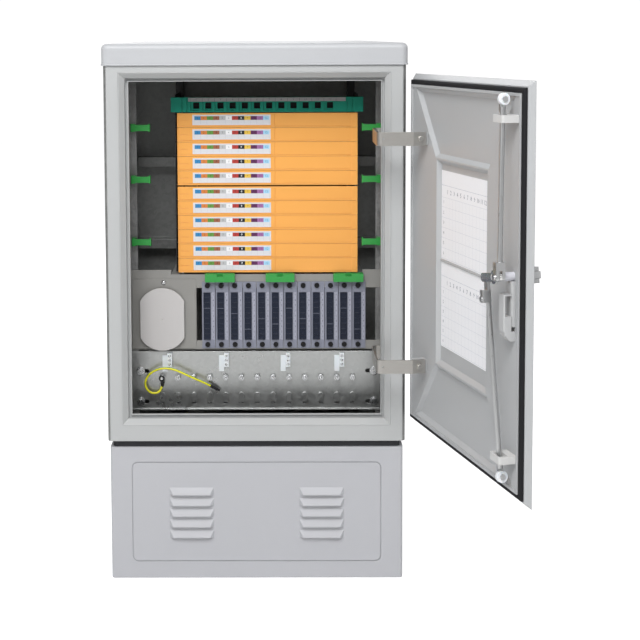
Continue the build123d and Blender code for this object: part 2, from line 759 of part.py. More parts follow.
def lance(x, wall, y0, y1, bottom):
    """A tongue with a round top between two depths, drawn in by the wall at its sides and top."""
    half = lance_width / 2 - wall
    shoulder = lance_top - lance_width / 2
    outline = Pos(x, (bottom + shoulder) / 2) * Rectangle(2 * half, shoulder - bottom)
    outline += Pos(x, shoulder) * Circle(half)
    return extrude(upright(y0) * outline, y0 - y1)


# Earth plate of galvanised sheet: folded at its top and bottom edges, with slots for its bolts
# and a row of pressed lances, open below, that cable ties go through
earth = slab(-earth_half, earth_half, plate_front, rail_front, earth_bottom, earth_top)
earth += slab(-rail_inner_x + 0.5, rail_inner_x - 0.5, plate_front, plate_front + earth_fold,
              earth_top - plate_sheet, earth_top)
earth += slab(-earth_half, earth_half, plate_front - earth_lip, plate_front + 0.5, earth_bottom,
              earth_bottom + plate_sheet)
earth_bolts = []
for x in (-earth_bolt_x, earth_bolt_x):
    for z in earth_bolt_heights:
        shift = earth_slot_shift if x < 0 else -earth_slot_shift
        slot = Pos(x + shift, z) * SlotOverall(earth_slot_length, earth_slot_height)
        earth -= extrude(upright(plate_front - 1) * slot, -2 * plate_sheet)
        washer = bar((x, plate_front - 1.5, z), (x, plate_front, z), 8.5)
        head = extrude(upright(plate_front - 1.5) * Pos(x, z) * RegularPolygon(6.5, 6), 5)
        shank = bar((x, plate_front - 1, z), (x, rail_front - 0.1, z), 3)
        earth_bolts.append(fillet(washer.edges(), 0.5) + head + shank)
studs = []
for n in range(stud_count):
    x = stud_first_x + n * stud_pitch
    nut = extrude(upright(plate_front) * Pos(x, stud_z) * RegularPolygon(stud_nut_radius, 6), 4.5)
    washer = bar((x, plate_front - 6.0, stud_z), (x, plate_front - 4.5, stud_z), 5.8)
    nut_two = extrude(upright(plate_front - 6.0) * Pos(x, stud_z) * RegularPolygon(stud_nut_radius, 6), 4.5)
    thread = bar((x, plate_front - stud_length, stud_z), (x, plate_front, stud_z), stud_radius)
    thread = chamfer(thread.edges().group_by(Axis.Y)[0], 0.8)
    studs.append(nut + washer + nut_two + thread)
    earth += lance(x, 0, plate_front - lance_proud, plate_front + 0.5, lance_bottom)
    earth -= lance(x, sheet, plate_front - lance_proud + sheet, rail_front + 1, lance_bottom - lance_mouth)
keep("earth_plate", earth)
keep("earth_plate_bolts", *earth_bolts)
keep("earth_studs", *studs)

# Cable clamps: a tongue at the left and a screw block at the right
clamps = []
dome_screws = [dome_screw(disc_screw_x, plate_front - sheet, disc_screw_z, 5.0, 3.0)]
for left in clamp_lefts:
    split = left + 0.52 * clamp_width
    clamp = slab(left, split, plate_front - 3, plate_front, clamp_bottom, clamp_top - 5)
    block = slab(split, left + clamp_width, plate_front - clamp_thickness, plate_front, clamp_bottom + 9,
                 clamp_top)
    clamps.append(clamp + fillet(block.edges().filter_by(Axis.X).group_by(Axis.Y)[0], 1.5))
    for k in range(3):
        z = clamp_bottom + 15 + 8.5 * k
        dome_screws.append(dome_screw((split + left + clamp_width) / 2, plate_front - clamp_thickness, z,
                                      2.8, 1.8))
keep("cable_clamps", *clamps)
keep("dome_screws", *dome_screws)

# Earth wire: straight runs joined by tangent arcs, with a crimped lug at each end
route = [Vector(x, plate_front - stand, z) for x, stand, z in wire_points]
radii = []
for before, here, after in zip(route, route[1:], route[2:]):
    turn = (here - before).get_angle(after - here)
    radii.append(0.45 * min((here - before).length, (after - here).length) / tan(radians(turn) / 2))
print("wire radii in diameters:", [round(r / wire_diameter, 1) for r in radii])
wire_path = FilletPolyline(*route, radius=radii)
wire_section = Plane(origin=route[0], z_dir=route[1] - route[0]) * Circle(wire_diameter / 2)
wire = sweep(wire_section, path=wire_path)
print("wire length:", round(wire_path.length, 1), "volume ratio:",
      round(wire.volume / (wire_path.length * 3.14159265 * wire_diameter ** 2 / 4), 4))
keep("earth_wire", wire)

start_dir = (route[0] - route[1]).normalized()
end_dir = (route[-1] - route[-2]).normalized()
eye_y = plate_front - 10.5 - 1.2
first_lug = bar(tuple(route[0]), tuple(route[0] + start_dir * 9), 3.1)
eye = Cylinder(6, 1.6) - Cylinder(stud_radius + 0.2, 4)
first_lug += Pos(stud_first_x, eye_y, stud_z) * Rot(90, 0, 0) * eye
first_lug += slab(stud_first_x - 2.6, stud_first_x + 2.6, eye_y - 0.8, eye_y + 0.8, stud_z - 11, stud_z - 5)
last_lug = bar(tuple(route[-1]), tuple(route[-1] + end_dir * 17), 3.1)
last_lug += bar(tuple(route[-1] + end_dir * 17), tuple(route[-1] + end_dir * 22), 2.0)
keep("earth_lugs", first_lug, last_lug)

# Hinge lugs welded to the side wall, and the two fixed pins
pin_y = front + hinge_pin_depth
hinge_lugs = []
hinge_pins = []
for z in hinge_heights:
    for sign in (-1, 1):
        level = z + sign * (arm_height / 2 + lug_gap + lug_thickness / 2)
        lug = slab(hinge_pin_x, inner_half_width, pin_y - lug_radius, pin_y + lug_radius,
                   level - lug_thickness / 2, level + lug_thickness / 2)
        lug += Pos(hinge_pin_x, pin_y, level) * Cylinder(lug_radius, lug_thickness)
        lug -= Pos(hinge_pin_x, pin_y, level) * Cylinder(hinge_pin_radius + fit, 2 * lug_thickness)
        hinge_lugs.append(lug)
    reach = arm_height / 2 + lug_gap + lug_thickness
    pin = bar((hinge_pin_x, pin_y, z - reach - 1), (hinge_pin_x, pin_y, z + reach), hinge_pin_radius)
    pin += bar((hinge_pin_x, pin_y, z + reach), (hinge_pin_x, pin_y, z + reach + 2), hinge_pin_radius + 2)
    hinge_pins.append(pin)
keep("hinge_lugs", *hinge_lugs)
keep("hinge_pins", *hinge_pins)

# The door is drawn closed, by its distance from the hinge-side edge and its level above the outer face,
# and then swung open about the hinge pins.
hinge_axis = Axis((hinge_pin_x, pin_y, 0), (0, 0, 1))


def door_x(from_edge):
    """The place across the closed door, from its distance to the hinge-side edge."""
    return door_half_width - from_edge


def door_y(level):
    """The depth in the closed door, from its level above the outer face."""
    return front + level


def swung(shape):
    """The closed-door piece in its place on the open door."""
    return shape.rotate(hinge_axis, door_open_angle)


def door_face(level, inset):
    """The door's outline at a level, drawn in by the inset on all four sides."""
    return frame_face(door_y(level), door_half_width - inset, door_bottom + inset, door_top - inset)


def door_block(level0, inset0, level1, inset1):
    """A solid between two of the door's outlines."""
    return loft([door_face(level0, inset0), door_face(level1, inset1)], ruled=True)


# Outer skin: bevelled edges and an inward flange, cut for the lock
skin = door_block(0, 0, door_edge_depth, door_edge_depth)
skin -= door_block(sheet, 2 * sheet, door_edge_depth - sheet, door_edge_depth + 0.5 * sheet)
flange_inset = door_edge_depth + door_flange
flange_window = frame_face(door_y(door_edge_depth - 2 * sheet), door_half_width - flange_inset,
                           door_bottom + flange_inset, door_top - flange_inset)
skin -= extrude(flange_window, -3 * sheet)
shaft_x = door_x(shaft_from_edge)
lock_cut = slab(shaft_x - housing_back_width / 2 - 0.5, shaft_x + housing_back_width / 2 + 0.5, door_y(-1),
                door_y(pan_level + 5), housing_back_bottom - 0.5, housing_back_top + 0.5)
lock_cut += bar((shaft_x, door_y(-1), shaft_z), (shaft_x, door_y(pan_level + 5), shaft_z),
                barrel_radius + 0.3)
keep("door_skin", swung(skin - lock_cut))

# Gasket: a D-section ring on the flange
gasket = door_block(door_edge_depth, gasket_margin, door_edge_depth + gasket_height, gasket_margin)
gasket = fillet(gasket.faces().sort_by(Axis.Y)[-1].edges(), gasket_round)
hole = door_block(door_edge_depth - 1, gasket_margin + gasket_width, door_edge_depth + gasket_height + 1,
                  gasket_margin + gasket_width)
gasket -= hole
keep("door_gasket", swung(gasket))

# Inner pan: a pressed sheet with a rolled lip, two trapezoid pockets and the card pocket


def pocket(points, grow, depth):
    """A tapered pocket with sloping sides, cut towards the skin from the pan's level."""
    face = upright(door_y(pan_level)) * make_face(Polyline(*points, close=True))
    if grow:
        face = offset(face, grow, kind=Kind.INTERSECTION)
    return extrude(face, depth, taper=45)


upper_points = ((-pocket_wide_half, upper_pocket_top), (pocket_wide_half, upper_pocket_top),
                (pocket_narrow_half, upper_pocket_bottom), (-pocket_narrow_half, upper_pocket_bottom))
lower_points = ((-pocket_narrow_half, lower_pocket_top), (pocket_narrow_half, lower_pocket_top),
                (pocket_wide_half, lower_pocket_bottom), (-pocket_wide_half, lower_pocket_bottom))
card_top = upper_pocket_bottom - card_pocket_margin
card_bottom = lower_pocket_top + card_pocket_margin
card_points = ((-card_pocket_half, card_top), (card_pocket_half, card_top),
               (card_pocket_half, card_bottom), (-card_pocket_half, card_bottom))
pan = door_block(door_edge_depth, pan_margin, pan_level, pan_margin)
pan -= door_block(door_edge_depth - 1, pan_margin + sheet, pan_level - sheet, pan_margin + sheet)
lip = door_block(pan_level - 0.1, pan_margin, pan_level + pan_lip_height, pan_margin)
lip -= door_block(pan_level - 1, pan_margin + pan_lip_width, pan_level + pan_lip_height + 1,
                  pan_margin + pan_lip_width)
pan += lip
for points in (upper_points, card_points, lower_points):
    pan += pocket(points, sheet, pocket_depth + sheet)
for points in (upper_points, card_points, lower_points):
    pan -= pocket(points, 0, pocket_depth)
card_level = pan_level - pocket_depth
pan += slab(-card_width / 2, card_width / 2, door_y(card_level - 0.5), door_y(card_level + 2.5),
            lower_card_top + 0.3, upper_card_bottom - 0.3)
keep("door_inner_pan", swung(pan - lock_cut))

# Record cards in the card pocket
cards = []
for low, high in ((upper_card_bottom, upper_card_top), (lower_card_bottom, lower_card_top)):
    card = slab(-card_width / 2, card_width / 2, door_y(card_level), door_y(card_level + card_thickness),
                low, high)
    cards.append(swung(card))
keep("record_cards", *cards)

# Hinge brackets on the pan, and the bolts that hold the arms to them
brackets = []
bolts = []
arms = []
bracket_x = door_x(bracket_from_edge + bracket_width)
for z in hinge_heights:
    half = arm_height / 2 - 1
    body = slab(bracket_x, bracket_x + bracket_width, door_y(pan_level), door_y(pan_level + bracket_rise),
                z - half, z + half)
    body -= slab(bracket_x + bracket_wall, bracket_x + bracket_width + 1, door_y(pan_level + bracket_wall),
                 door_y(pan_level + bracket_rise - bracket_wall), z - half - 1, z + half - bracket_wall)
    body = fillet(body.edges().filter_by(Axis.Z).group_by(Axis.X)[0].sort_by(Axis.Y)[-1:], 2)
    bolt_y = door_y(pan_level + bolt_rise)
    hole = bar((bracket_x - 10, bolt_y, z), (bracket_x + 2 * bracket_wall, bolt_y, z),
               bolt_radius + bolt_clearance)
    brackets.append(swung(body - hole))
    outer = bracket_x - arm_thickness
    bolt = bar((outer - 4, bolt_y, z), (outer, bolt_y, z), 5.5)
    bolt = fillet(bolt.edges().group_by(Axis.X)[0], 1.5)
    bolt += bar((outer - 1, bolt_y, z), (bracket_x + bracket_wall, bolt_y, z), bolt_radius)
    bolt += bar((bracket_x + bracket_wall, bolt_y, z), (bracket_x + bracket_wall + 4, bolt_y, z), 5)
    bolts.append(swung(bolt))

# Swan-neck arms: a flat bar from the pin, round the stile and on to the door bracket
tip_closed = Vector(bracket_x - arm_thickness / 2, door_y(pan_level + arm_end_rise), 0)
elbow_closed = Vector(bracket_x - arm_thickness / 2, door_y(pan_level + bracket_rise + 5), 0)
swing = radians(door_open_angle)


def swing_point(point):
    """The closed-door point after the door has swung open."""
    dx = point.X - hinge_pin_x
    dy = point.Y - pin_y
    return Vector(hinge_pin_x + dx * cos(swing) - dy * sin(swing),
                  pin_y + dx * sin(swing) + dy * cos(swing), 0)


tip = swing_point(tip_closed)
elbow = swing_point(elbow_closed)
leg_y = pin_y - hinge_barrel_radius + arm_thickness / 2
arm_route = [Vector(hinge_pin_x, leg_y, 0), Vector(arm_left_x, leg_y, 0), Vector(arm_left_x, elbow.Y, 0),
             elbow, tip]
for z in hinge_heights:
    path = Pos(0, 0, z) * FilletPolyline(*arm_route, radius=[arm_bend, arm_bend, arm_bend])
    start = Plane(origin=(hinge_pin_x, leg_y, z), z_dir=(-1, 0, 0), x_dir=(0, 0, 1))
    arm = sweep(start * Rectangle(arm_height, arm_thickness), path=path)
    arm += bar((hinge_pin_x, pin_y, z - arm_height / 2), (hinge_pin_x, pin_y, z + arm_height / 2),
               hinge_barrel_radius)
    arm -= bar((hinge_pin_x, pin_y, z - arm_height), (hinge_pin_x, pin_y, z + arm_height),
               hinge_pin_radius + fit)
    bolt_y = door_y(pan_level + bolt_rise)
    arm -= swung(bar((bracket_x - 20, bolt_y, z), (bracket_x + 20, bolt_y, z), bolt_radius + bolt_clearance))
    arm -= bar((arm_left_x + 10, elbow.Y - 10, z), (arm_left_x + 10, elbow.Y + 10, z), 1.8)
    arms.append(arm)
keep("hinge_brackets", *brackets)
keep("hinge_bolts", *bolts)
keep("hinge_arms", *arms)

# Handle housing: outer plate, the back that goes through the door, and the shaft barrel
housing = extrude(upright(door_y(0)) * Pos(shaft_x, (housing_top + housing_bottom) / 2)
                  * RectangleRounded(housing_width, housing_top - housing_bottom, 14), housing_plate)
housing = chamfer(housing.faces().sort_by(Axis.Y)[0].edges(), 2)
housing_back = slab(shaft_x - housing_back_width / 2, shaft_x + housing_back_width / 2, door_y(-1),
                    door_y(housing_back_reach), housing_back_bottom, housing_back_top)
housing_back = fillet(housing_back.faces().sort_by(Axis.Y)[-1].edges(), 4)
housing += housing_back
housing += bar((shaft_x, door_y(-1), shaft_z), (shaft_x, door_y(barrel_reach), shaft_z), barrel_radius)
housing -= bar((shaft_x, door_y(-20), shaft_z), (shaft_x, door_y(60), shaft_z), shaft_radius + fit)
keep("handle_housing", swung(housing))

# Clamp that holds the housing to the door from inside: a foot on the pan, a block on the housing's
# back, and a strap that bridges its upper half
clamp_left = shaft_x - clamp_half_width
clamp_right = shaft_x + clamp_half_width
clamp_plate = slab(clamp_left, clamp_right, door_y(housing_back_reach), door_y(clamp_level),
                   clamp_block_bottom, clamp_top_z)
clamp_plate = fillet(clamp_plate.edges().filter_by(Axis.Z).group_by(Axis.Y)[-1], 3)
clamp_plate -= slab(clamp_left - 1, clamp_right + 1, door_y(housing_back_reach - 1),
                    door_y(clamp_level - strap_thickness), clamp_block_top, clamp_top_z - strap_thickness)
foot = slab(clamp_left, clamp_right, door_y(pan_level), door_y(clamp_foot_level),
            clamp_foot_bottom, clamp_block_bottom)
clamp_plate += chamfer(foot.edges().filter_by(Axis.X).group_by(Axis.Z)[0].sort_by(Axis.Y)[-1:], 9)
keep("handle_clamp", swung(clamp_plate))

# Turning parts, drawn locked with the handle down, then turned about the shaft.
# The shaft has a square head, with the lever's cross pin pressed through it.
shaft_axis = Axis((shaft_x, 0, shaft_z), (0, -1, 0))


def turned(shape):
    """The locked piece in its place with the handle turned and the door open."""
    return swung(shape.rotate(shaft_axis, turned_angle))


head = slab(shaft_x - head_width / 2, shaft_x + head_width / 2, door_y(-lever_level - lever_head_radius + 2),
            door_y(-housing_plate - 0.3), shaft_z - lever_head_radius, shaft_z + lever_head_radius)
head = fillet(head.edges().filter_by(Axis.Y), 2)
lever_bore = bar((shaft_x - 30, door_y(-lever_level), shaft_z),
                 (shaft_x + 30, door_y(-lever_level), shaft_z), lever_pin_radius + fit)
shaft = head + bar((shaft_x, door_y(-housing_plate - 2), shaft_z),
                   (shaft_x, door_y(cam_level + cam_thickness + 3), shaft_z), shaft_radius)
shaft += bar((shaft_x - lever_width / 2 + 0.5, door_y(-lever_level), shaft_z),
             (shaft_x + lever_width / 2 - 0.5, door_y(-lever_level), shaft_z), lever_pin_radius)
keep("handle_shaft", turned(shaft))

# Swing lever: a tapered grip that forks round the shaft's head, lifted so that it can turn
grip_top = shaft_z - lever_head_radius - 4
lever_back = door_y(-lever_level + lever_thickness / 2)
lever_front = door_y(-lever_level - lever_thickness / 2)
grip_faces = []
for z, width in ((grip_top, lever_width), (shaft_z - lever_length, 0.7 * lever_width)):
    plane = Plane(origin=(shaft_x, (lever_back + lever_front) / 2, z))
    grip_faces.append(plane * RectangleRounded(width, lever_thickness, 4))
lever = loft(grip_faces, ruled=True)
for sign in (-1, 1):
    x0 = shaft_x + sign * (head_width / 2 + 0.3)
    x1 = shaft_x + sign * lever_width / 2
    cheek = slab(x0, x1, lever_front, lever_back, grip_top - 1, shaft_z)
    cheek += bar((min(x0, x1), door_y(-lever_level), shaft_z), (max(x0, x1), door_y(-lever_level), shaft_z),
                 lever_thickness / 2)
    lever += cheek
lift_axis = Axis((shaft_x, door_y(-lever_level), shaft_z), (-1, 0, 0))
keep("swing_lever", turned((lever - lever_bore).rotate(lift_axis, lifted_angle)))

# Cam: a double-armed plate with a pin for each rod
cam_y0 = door_y(cam_level)
cam_y1 = door_y(cam_level + cam_thickness)
upper_pin = Vector(shaft_x, 0, shaft_z + upper_pin_arm)
lower_pin = Vector(shaft_x, 0, shaft_z - lower_pin_arm)
cam = bar((shaft_x, cam_y0, shaft_z), (shaft_x, cam_y1, shaft_z), cam_hub_radius)
for end in (upper_pin, lower_pin):
    cam += bar((end.X, cam_y0, end.Z), (end.X, cam_y1, end.Z), cam_eye_radius)
cam += slab(shaft_x - cam_eye_radius, shaft_x + cam_eye_radius, cam_y0, cam_y1, lower_pin.Z, upper_pin.Z)
cam -= bar((shaft_x, cam_y0 - 1, shaft_z), (shaft_x, cam_y1 + 1, shaft_z), shaft_radius)
lower_eye_base = door_y(lower_rod_level - rod_eye_thickness / 2)
cam += bar((shaft_x, door_y(clevis_near - 1), upper_pin.Z), (shaft_x, door_y(clevis_far + 1), upper_pin.Z),
           cam_pin_radius)
cam += bar((shaft_x, door_y(clevis_far + 0.3), upper_pin.Z), (shaft_x, door_y(clevis_far + 3), upper_pin.Z),
           cam_pin_radius + 1.5)
cam += bar((shaft_x, lower_eye_base - 1, lower_pin.Z), (shaft_x, cam_y0, lower_pin.Z), cam_pin_radius)
keep("lock_cam", turned(cam))

# Rods: the upper one holds the cam in a clevis and the lower one hangs on a flat eye below a block.
# Each passes its guide, and a roller turns on its outer end.
turn = radians(turned_angle)
half_eye = rod_eye_half_width
clevis = slab(-half_eye, half_eye, clevis_near - upper_rod_level, clevis_far - upper_rod_level,
              -half_eye, clevis_length)
clevis = fillet(clevis.edges().filter_by(Axis.Y).group_by(Axis.Z)[0], 4)
clevis -= slab(-half_eye - 1, half_eye + 1, -clevis_gap / 2, clevis_gap / 2, -half_eye - 1, clevis_slot)
link = slab(-half_eye, half_eye, -rod_eye_thickness / 2, rod_eye_thickness / 2, -link_block_start - 1, 0)
link += bar((0, -rod_eye_thickness / 2, 0), (0, rod_eye_thickness / 2, 0), half_eye)
link_block = slab(-half_eye, half_eye, link_block_near - lower_rod_level, link_block_far - lower_rod_level,
                  -link_block_end, -link_block_start)
link += fillet(link_block.edges().filter_by(Axis.Z), 2)
link += bar((0, link_block_far - lower_rod_level - 1, -link_bolt_from_pin),
            (0, link_block_far - lower_rod_level + 2, -link_bolt_from_pin), link_bolt_radius)


def rod_parts(end, end_length, sign, arm, level, end_level, roller_z):
    """Rod and roller, drawn upright from the cam pin at the origin, then leaned to the roller's place."""
    pin_x = shaft_x - sign * arm * sin(turn)
    pin_z = shaft_z + sign * arm * cos(turn)
    reach = sqrt((pin_x - shaft_x) ** 2 + (roller_z - pin_z) ** 2)
    lean = degrees(asin((shaft_x - pin_x) / reach))
    dy = end_level - level
    rod = end + bar((0, dy * (end_length - 6) / reach, sign * (end_length - 6)),
                    (0, dy * (reach - 12) / reach, sign * (reach - 12)), rod_radius)
    rod += slab(1.3, 1.3 + fork_thickness, dy - 5, dy + 5, sign * (reach - 20), sign * reach)
    rod += bar((1.3, dy, sign * reach), (1.3 + fork_thickness, dy, sign * reach), 5)
    rod -= bar((0, -10, 0), (0, 10, 0), cam_pin_radius + fit)
    axle_end = 1.3 - roller_width - 2 * 0.3
    rod += bar((axle_end - 1.5, dy, sign * reach), (2, dy, sign * reach), roller_axle_radius)
    rod += bar((axle_end - 1.5, dy, sign * reach), (axle_end, dy, sign * reach), roller_axle_radius + 2)
    roller = bar((1.3 - 0.3 - roller_width, dy, sign * reach), (1.3 - 0.3, dy, sign * reach), roller_radius)
    roller = fillet(roller.edges().filter_by(GeomType.CIRCLE), 1.5)
    roller -= bar((-20, dy, sign * reach), (20, dy, sign * reach), roller_axle_radius + fit)
    place = Pos(pin_x, door_y(level), pin_z) * Rot(0, sign * lean, 0)
    return swung(place * rod), swung(place * roller)


upper_rod, upper_roller = rod_parts(clevis, clevis_length, 1, upper_pin_arm, upper_rod_level,
                                    upper_rod_end_level, upper_roller_z)
lower_rod, lower_roller = rod_parts(link, link_block_end, -1, lower_pin_arm, lower_rod_level,
                                    lower_rod_end_level, lower_roller_z)
keep("upper_rod", upper_rod)
keep("lower_rod", lower_rod)
keep("upper_roller", upper_roller)
keep("lower_roller", lower_roller)

# Rod guides: moulded blocks on the pan, with a slot wide enough for the rod to lean
guides = []
for z in (upper_roller_z - guide_from_roller, lower_roller_z + guide_from_roller):
    low = z - guide_height / 2
    high = z + guide_height / 2
    guide = slab(shaft_x - guide_half_width, shaft_x + guide_half_width, door_y(pan_level),
                 door_y(guide_reach), low, high)
    guide = fillet(guide.edges().filter_by(Axis.Z).group_by(Axis.Y)[-1], 4)
    guide -= slab(shaft_x - guide_slot_half, shaft_x + guide_slot_half, door_y(guide_slot_near),
                  door_y(guide_slot_far), low - 1, high + 1)
    guides.append(swung(guide))
keep("rod_guides", *guides)

for name, shape in parts.items():
    shape.label = name
    export_step(shape, f"parts/{name}.step")
print(len(parts), "pieces written")
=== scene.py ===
import bpy
import math
import numpy as np
from mathutils import Matrix, Vector


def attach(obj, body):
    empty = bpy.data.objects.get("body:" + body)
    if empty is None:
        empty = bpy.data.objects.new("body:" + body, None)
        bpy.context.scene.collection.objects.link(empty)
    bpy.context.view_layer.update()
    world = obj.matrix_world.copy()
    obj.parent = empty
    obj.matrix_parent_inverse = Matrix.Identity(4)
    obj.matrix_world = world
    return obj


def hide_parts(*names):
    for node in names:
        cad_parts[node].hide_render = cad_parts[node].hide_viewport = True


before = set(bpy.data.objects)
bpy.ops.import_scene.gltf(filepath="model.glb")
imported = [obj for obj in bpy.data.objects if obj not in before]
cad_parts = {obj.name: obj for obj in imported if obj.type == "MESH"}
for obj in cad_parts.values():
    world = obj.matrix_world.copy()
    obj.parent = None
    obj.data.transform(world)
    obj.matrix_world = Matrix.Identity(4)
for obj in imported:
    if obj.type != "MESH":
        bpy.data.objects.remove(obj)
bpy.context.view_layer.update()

# Camera. It stands where the photographer stood, 2.45 m in front of the cabinet and as high as its cap,
# with a 73 mm lens. The picture is a crop of a larger one, so the lens is shifted.
pitch, yaw, roll = (math.radians(angle) for angle in (4.41, 0.46, -0.25))
forward = Vector((-math.sin(yaw) * math.cos(pitch), math.cos(yaw) * math.cos(pitch), -math.sin(pitch)))
level = Vector((math.cos(yaw), math.sin(yaw), 0.0))
above = level.cross(forward)
across = math.cos(roll) * level + math.sin(roll) * above
upward = math.cos(roll) * above - math.sin(roll) * level
camera = bpy.data.objects.new("camera", bpy.data.cameras.new("camera"))
camera.data.lens, camera.data.sensor_width = 73.38, 36.0
camera.data.shift_x, camera.data.shift_y = 0.075, -0.278
camera.matrix_world = Matrix.Translation((0.05222, -2.60209, 1.0341)) @ Matrix(
    (across, upward, -forward)).transposed().to_4x4()
bpy.context.scene.collection.objects.link(camera)
bpy.context.scene.camera = camera
bpy.context.scene.view_settings.view_transform = "Standard"


# Studio. The floor is a wide pale sheet under a white tent. A large soft box hangs in front and above,
# a smaller one stands at the left, and weak ones at the right and behind open the shadows.
def join(tree, *pairs):
    """Links each output socket to the input socket it is paired with."""
    for source, target in pairs:
        tree.links.new(source, target)


def add(tree, kind, values=(), **settings):
    """Adds a node of that kind, sets its properties and the values of its sockets, and returns it."""
    node = tree.nodes.new("ShaderNode" + kind)
    for key, value in settings.items():
        setattr(node, key, value)
    for key, value in dict(values).items():
        if hasattr(value, "is_output"):
            tree.links.new(value, node.inputs[key])
        else:
            node.inputs[key].default_value = value
    return node


def finish_of(name, **sockets):
    """A new material with plain values on the sockets of its Principled shader. Returns it, its tree and the shader."""
    material = bpy.data.materials.new(name)
    material.use_nodes = True
    shader = material.node_tree.nodes["Principled BSDF"]
    for key, value in sockets.items():
        shader.inputs[key.replace("_", " ")].default_value = value
    return material, material.node_tree, shader


floor_finish, floor_tree, floor_shader = finish_of("studio_floor", Roughness=0.7, Specular_IOR_Level=0.2)
floor_place = add(floor_tree, "TexCoord")
floor_cloud = add(floor_tree, "TexNoise", {"Vector": floor_place.outputs["Object"], "Scale": 1.2, "Detail": 2.0})
floor_tone = add(floor_tree, "ValToRGB", {"Fac": floor_cloud.outputs["Fac"]})
floor_tone.color_ramp.elements[0].color = (0.93, 0.93, 0.93, 1)
floor_tone.color_ramp.elements[1].color = (0.96, 0.96, 0.96, 1)
join(floor_tree, (floor_tone.outputs["Color"], floor_shader.inputs["Base Color"]))
floor_shader.inputs["Emission Color"].default_value = (1, 1, 1, 1)
floor_ray = add(floor_tree, "LightPath")
floor_glow = add(floor_tree, "Math", {0: floor_ray.outputs["Is Camera Ray"], 1: 0.62}, operation="MULTIPLY")
join(floor_tree, (floor_glow.outputs[0], floor_shader.inputs["Emission Strength"]))
floor_mesh = bpy.data.meshes.new("studio_floor")
floor_mesh.from_pydata([(-9, -7, -0.0006), (9, -7, -0.0006), (9, 11, -0.0006), (-9, 11, -0.0006)], [], [(0, 1, 2, 3)])
floor_mesh.materials.append(floor_finish)
studio_floor = bpy.data.objects.new("studio_floor", floor_mesh)
bpy.context.scene.collection.objects.link(studio_floor)

tent = bpy.data.worlds.new("tent")
tent.use_nodes = True
tent_glow = tent.node_tree.nodes["Background"]
tent_glow.inputs["Color"].default_value = (1.0, 1.0, 1.0, 1)
tent_ray = add(tent.node_tree, "LightPath")
tent_strength = add(tent.node_tree, "MapRange", {"Value": tent_ray.outputs["Is Camera Ray"], 3: 0.41, 4: 1.05})
join(tent.node_tree, (tent_strength.outputs[0], tent_glow.inputs["Strength"]))
bpy.context.scene.world = tent
for lamp_name, lamp_at, lamp_size, lamp_power in (
        ("top_lamp", (-0.3, -2.4, 2.9), 1.5, 88.0), ("left_lamp", (-2.4, -2.6, 1.8), 1.8, 9.0),
        ("right_lamp", (2.8, -2.4, 1.5), 2.2, 5.0), ("back_lamp", (-0.6, 3.4, 2.4), 2.2, 34.0)):
    lamp = bpy.data.objects.new(lamp_name, bpy.data.lights.new(lamp_name, "AREA"))
    lamp.data.energy, lamp.data.size = lamp_power, lamp_size
    lamp.location = lamp_at
    lamp.rotation_mode = "QUATERNION"
    lamp.rotation_quaternion = (Vector((0, 0, 0.55)) - lamp.location).to_track_quat("-Z", "Y")
    bpy.context.scene.collection.objects.link(lamp)


# Plinth: folded 2 mm sheet steel, welded at the corners and bolted down through its foot, with a lift-off
# louvred cover. Both carry a fine textured powder coat, baked on after welding and a little uneven.
def give(material, *names):
    """Puts the material on every slot of those CAD nodes."""
    for name in names:
        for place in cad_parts[name].material_slots:
            place.material = material


def coat_group():
    """Powder coat as a group: a slow cloud gives the tone and the gloss, a fine noise the grain's height."""
    group = bpy.data.node_groups.new("powder_coat", "ShaderNodeTree")
    group.interface.new_socket("Colour", in_out="INPUT", socket_type="NodeSocketColor")
    for name, value in (("Grain per metre", 1500.0), ("Unevenness", 0.04), ("Roughness", 0.45)):
        group.interface.new_socket(name, in_out="INPUT", socket_type="NodeSocketFloat").default_value = value
    group.interface.new_socket("Colour", in_out="OUTPUT", socket_type="NodeSocketColor")
    group.interface.new_socket("Roughness", in_out="OUTPUT", socket_type="NodeSocketFloat")
    group.interface.new_socket("Height", in_out="OUTPUT", socket_type="NodeSocketFloat")
    took, gave = group.nodes.new("NodeGroupInput"), group.nodes.new("NodeGroupOutput")
    place = add(group, "TexCoord")
    grain = add(group, "TexNoise", {"Vector": place.outputs["Object"], "Scale": took.outputs["Grain per metre"],
                                    "Detail": 1.5, "Roughness": 0.6})
    cloud = add(group, "TexNoise", {"Vector": place.outputs["Object"], "Scale": 5.0, "Detail": 3.0})
    swing = add(group, "Math", {0: cloud.outputs["Fac"], 1: 0.5}, operation="SUBTRACT")
    part = add(group, "Math", {0: swing.outputs[0], 1: took.outputs["Unevenness"]}, operation="MULTIPLY")
    speck = add(group, "MapRange", {"Value": grain.outputs["Fac"], 1: 0.3, 2: 0.7, 3: -0.012, 4: 0.012})
    both = add(group, "Math", {0: part.outputs[0], 1: speck.outputs[0]}, operation="ADD")
    tone = add(group, "Math", {0: both.outputs[0], 1: 1.0}, operation="ADD")
    shade = add(group, "VectorMath", {0: took.outputs["Colour"], "Scale": tone.outputs[0]}, operation="SCALE")
    gloss = add(group, "Math", {0: part.outputs[0], 1: took.outputs["Roughness"]}, operation="ADD")
    join(group, (shade.outputs["Vector"], gave.inputs["Colour"]), (gloss.outputs[0], gave.inputs["Roughness"]),
         (grain.outputs["Fac"], gave.inputs["Height"]))
    return group


powder_coat = coat_group()


def soften(tree, shader, height, depth, edge):
    """Bumps the surface by the height map, over a normal that a Bevel node turns round at the edges."""
    round_edge = add(tree, "Bevel", {"Radius": edge}, samples=6)
    bump = add(tree, "Bump", {"Height": height, "Normal": round_edge.outputs["Normal"], "Distance": depth})
    join(tree, (bump.outputs["Normal"], shader.inputs["Normal"]))


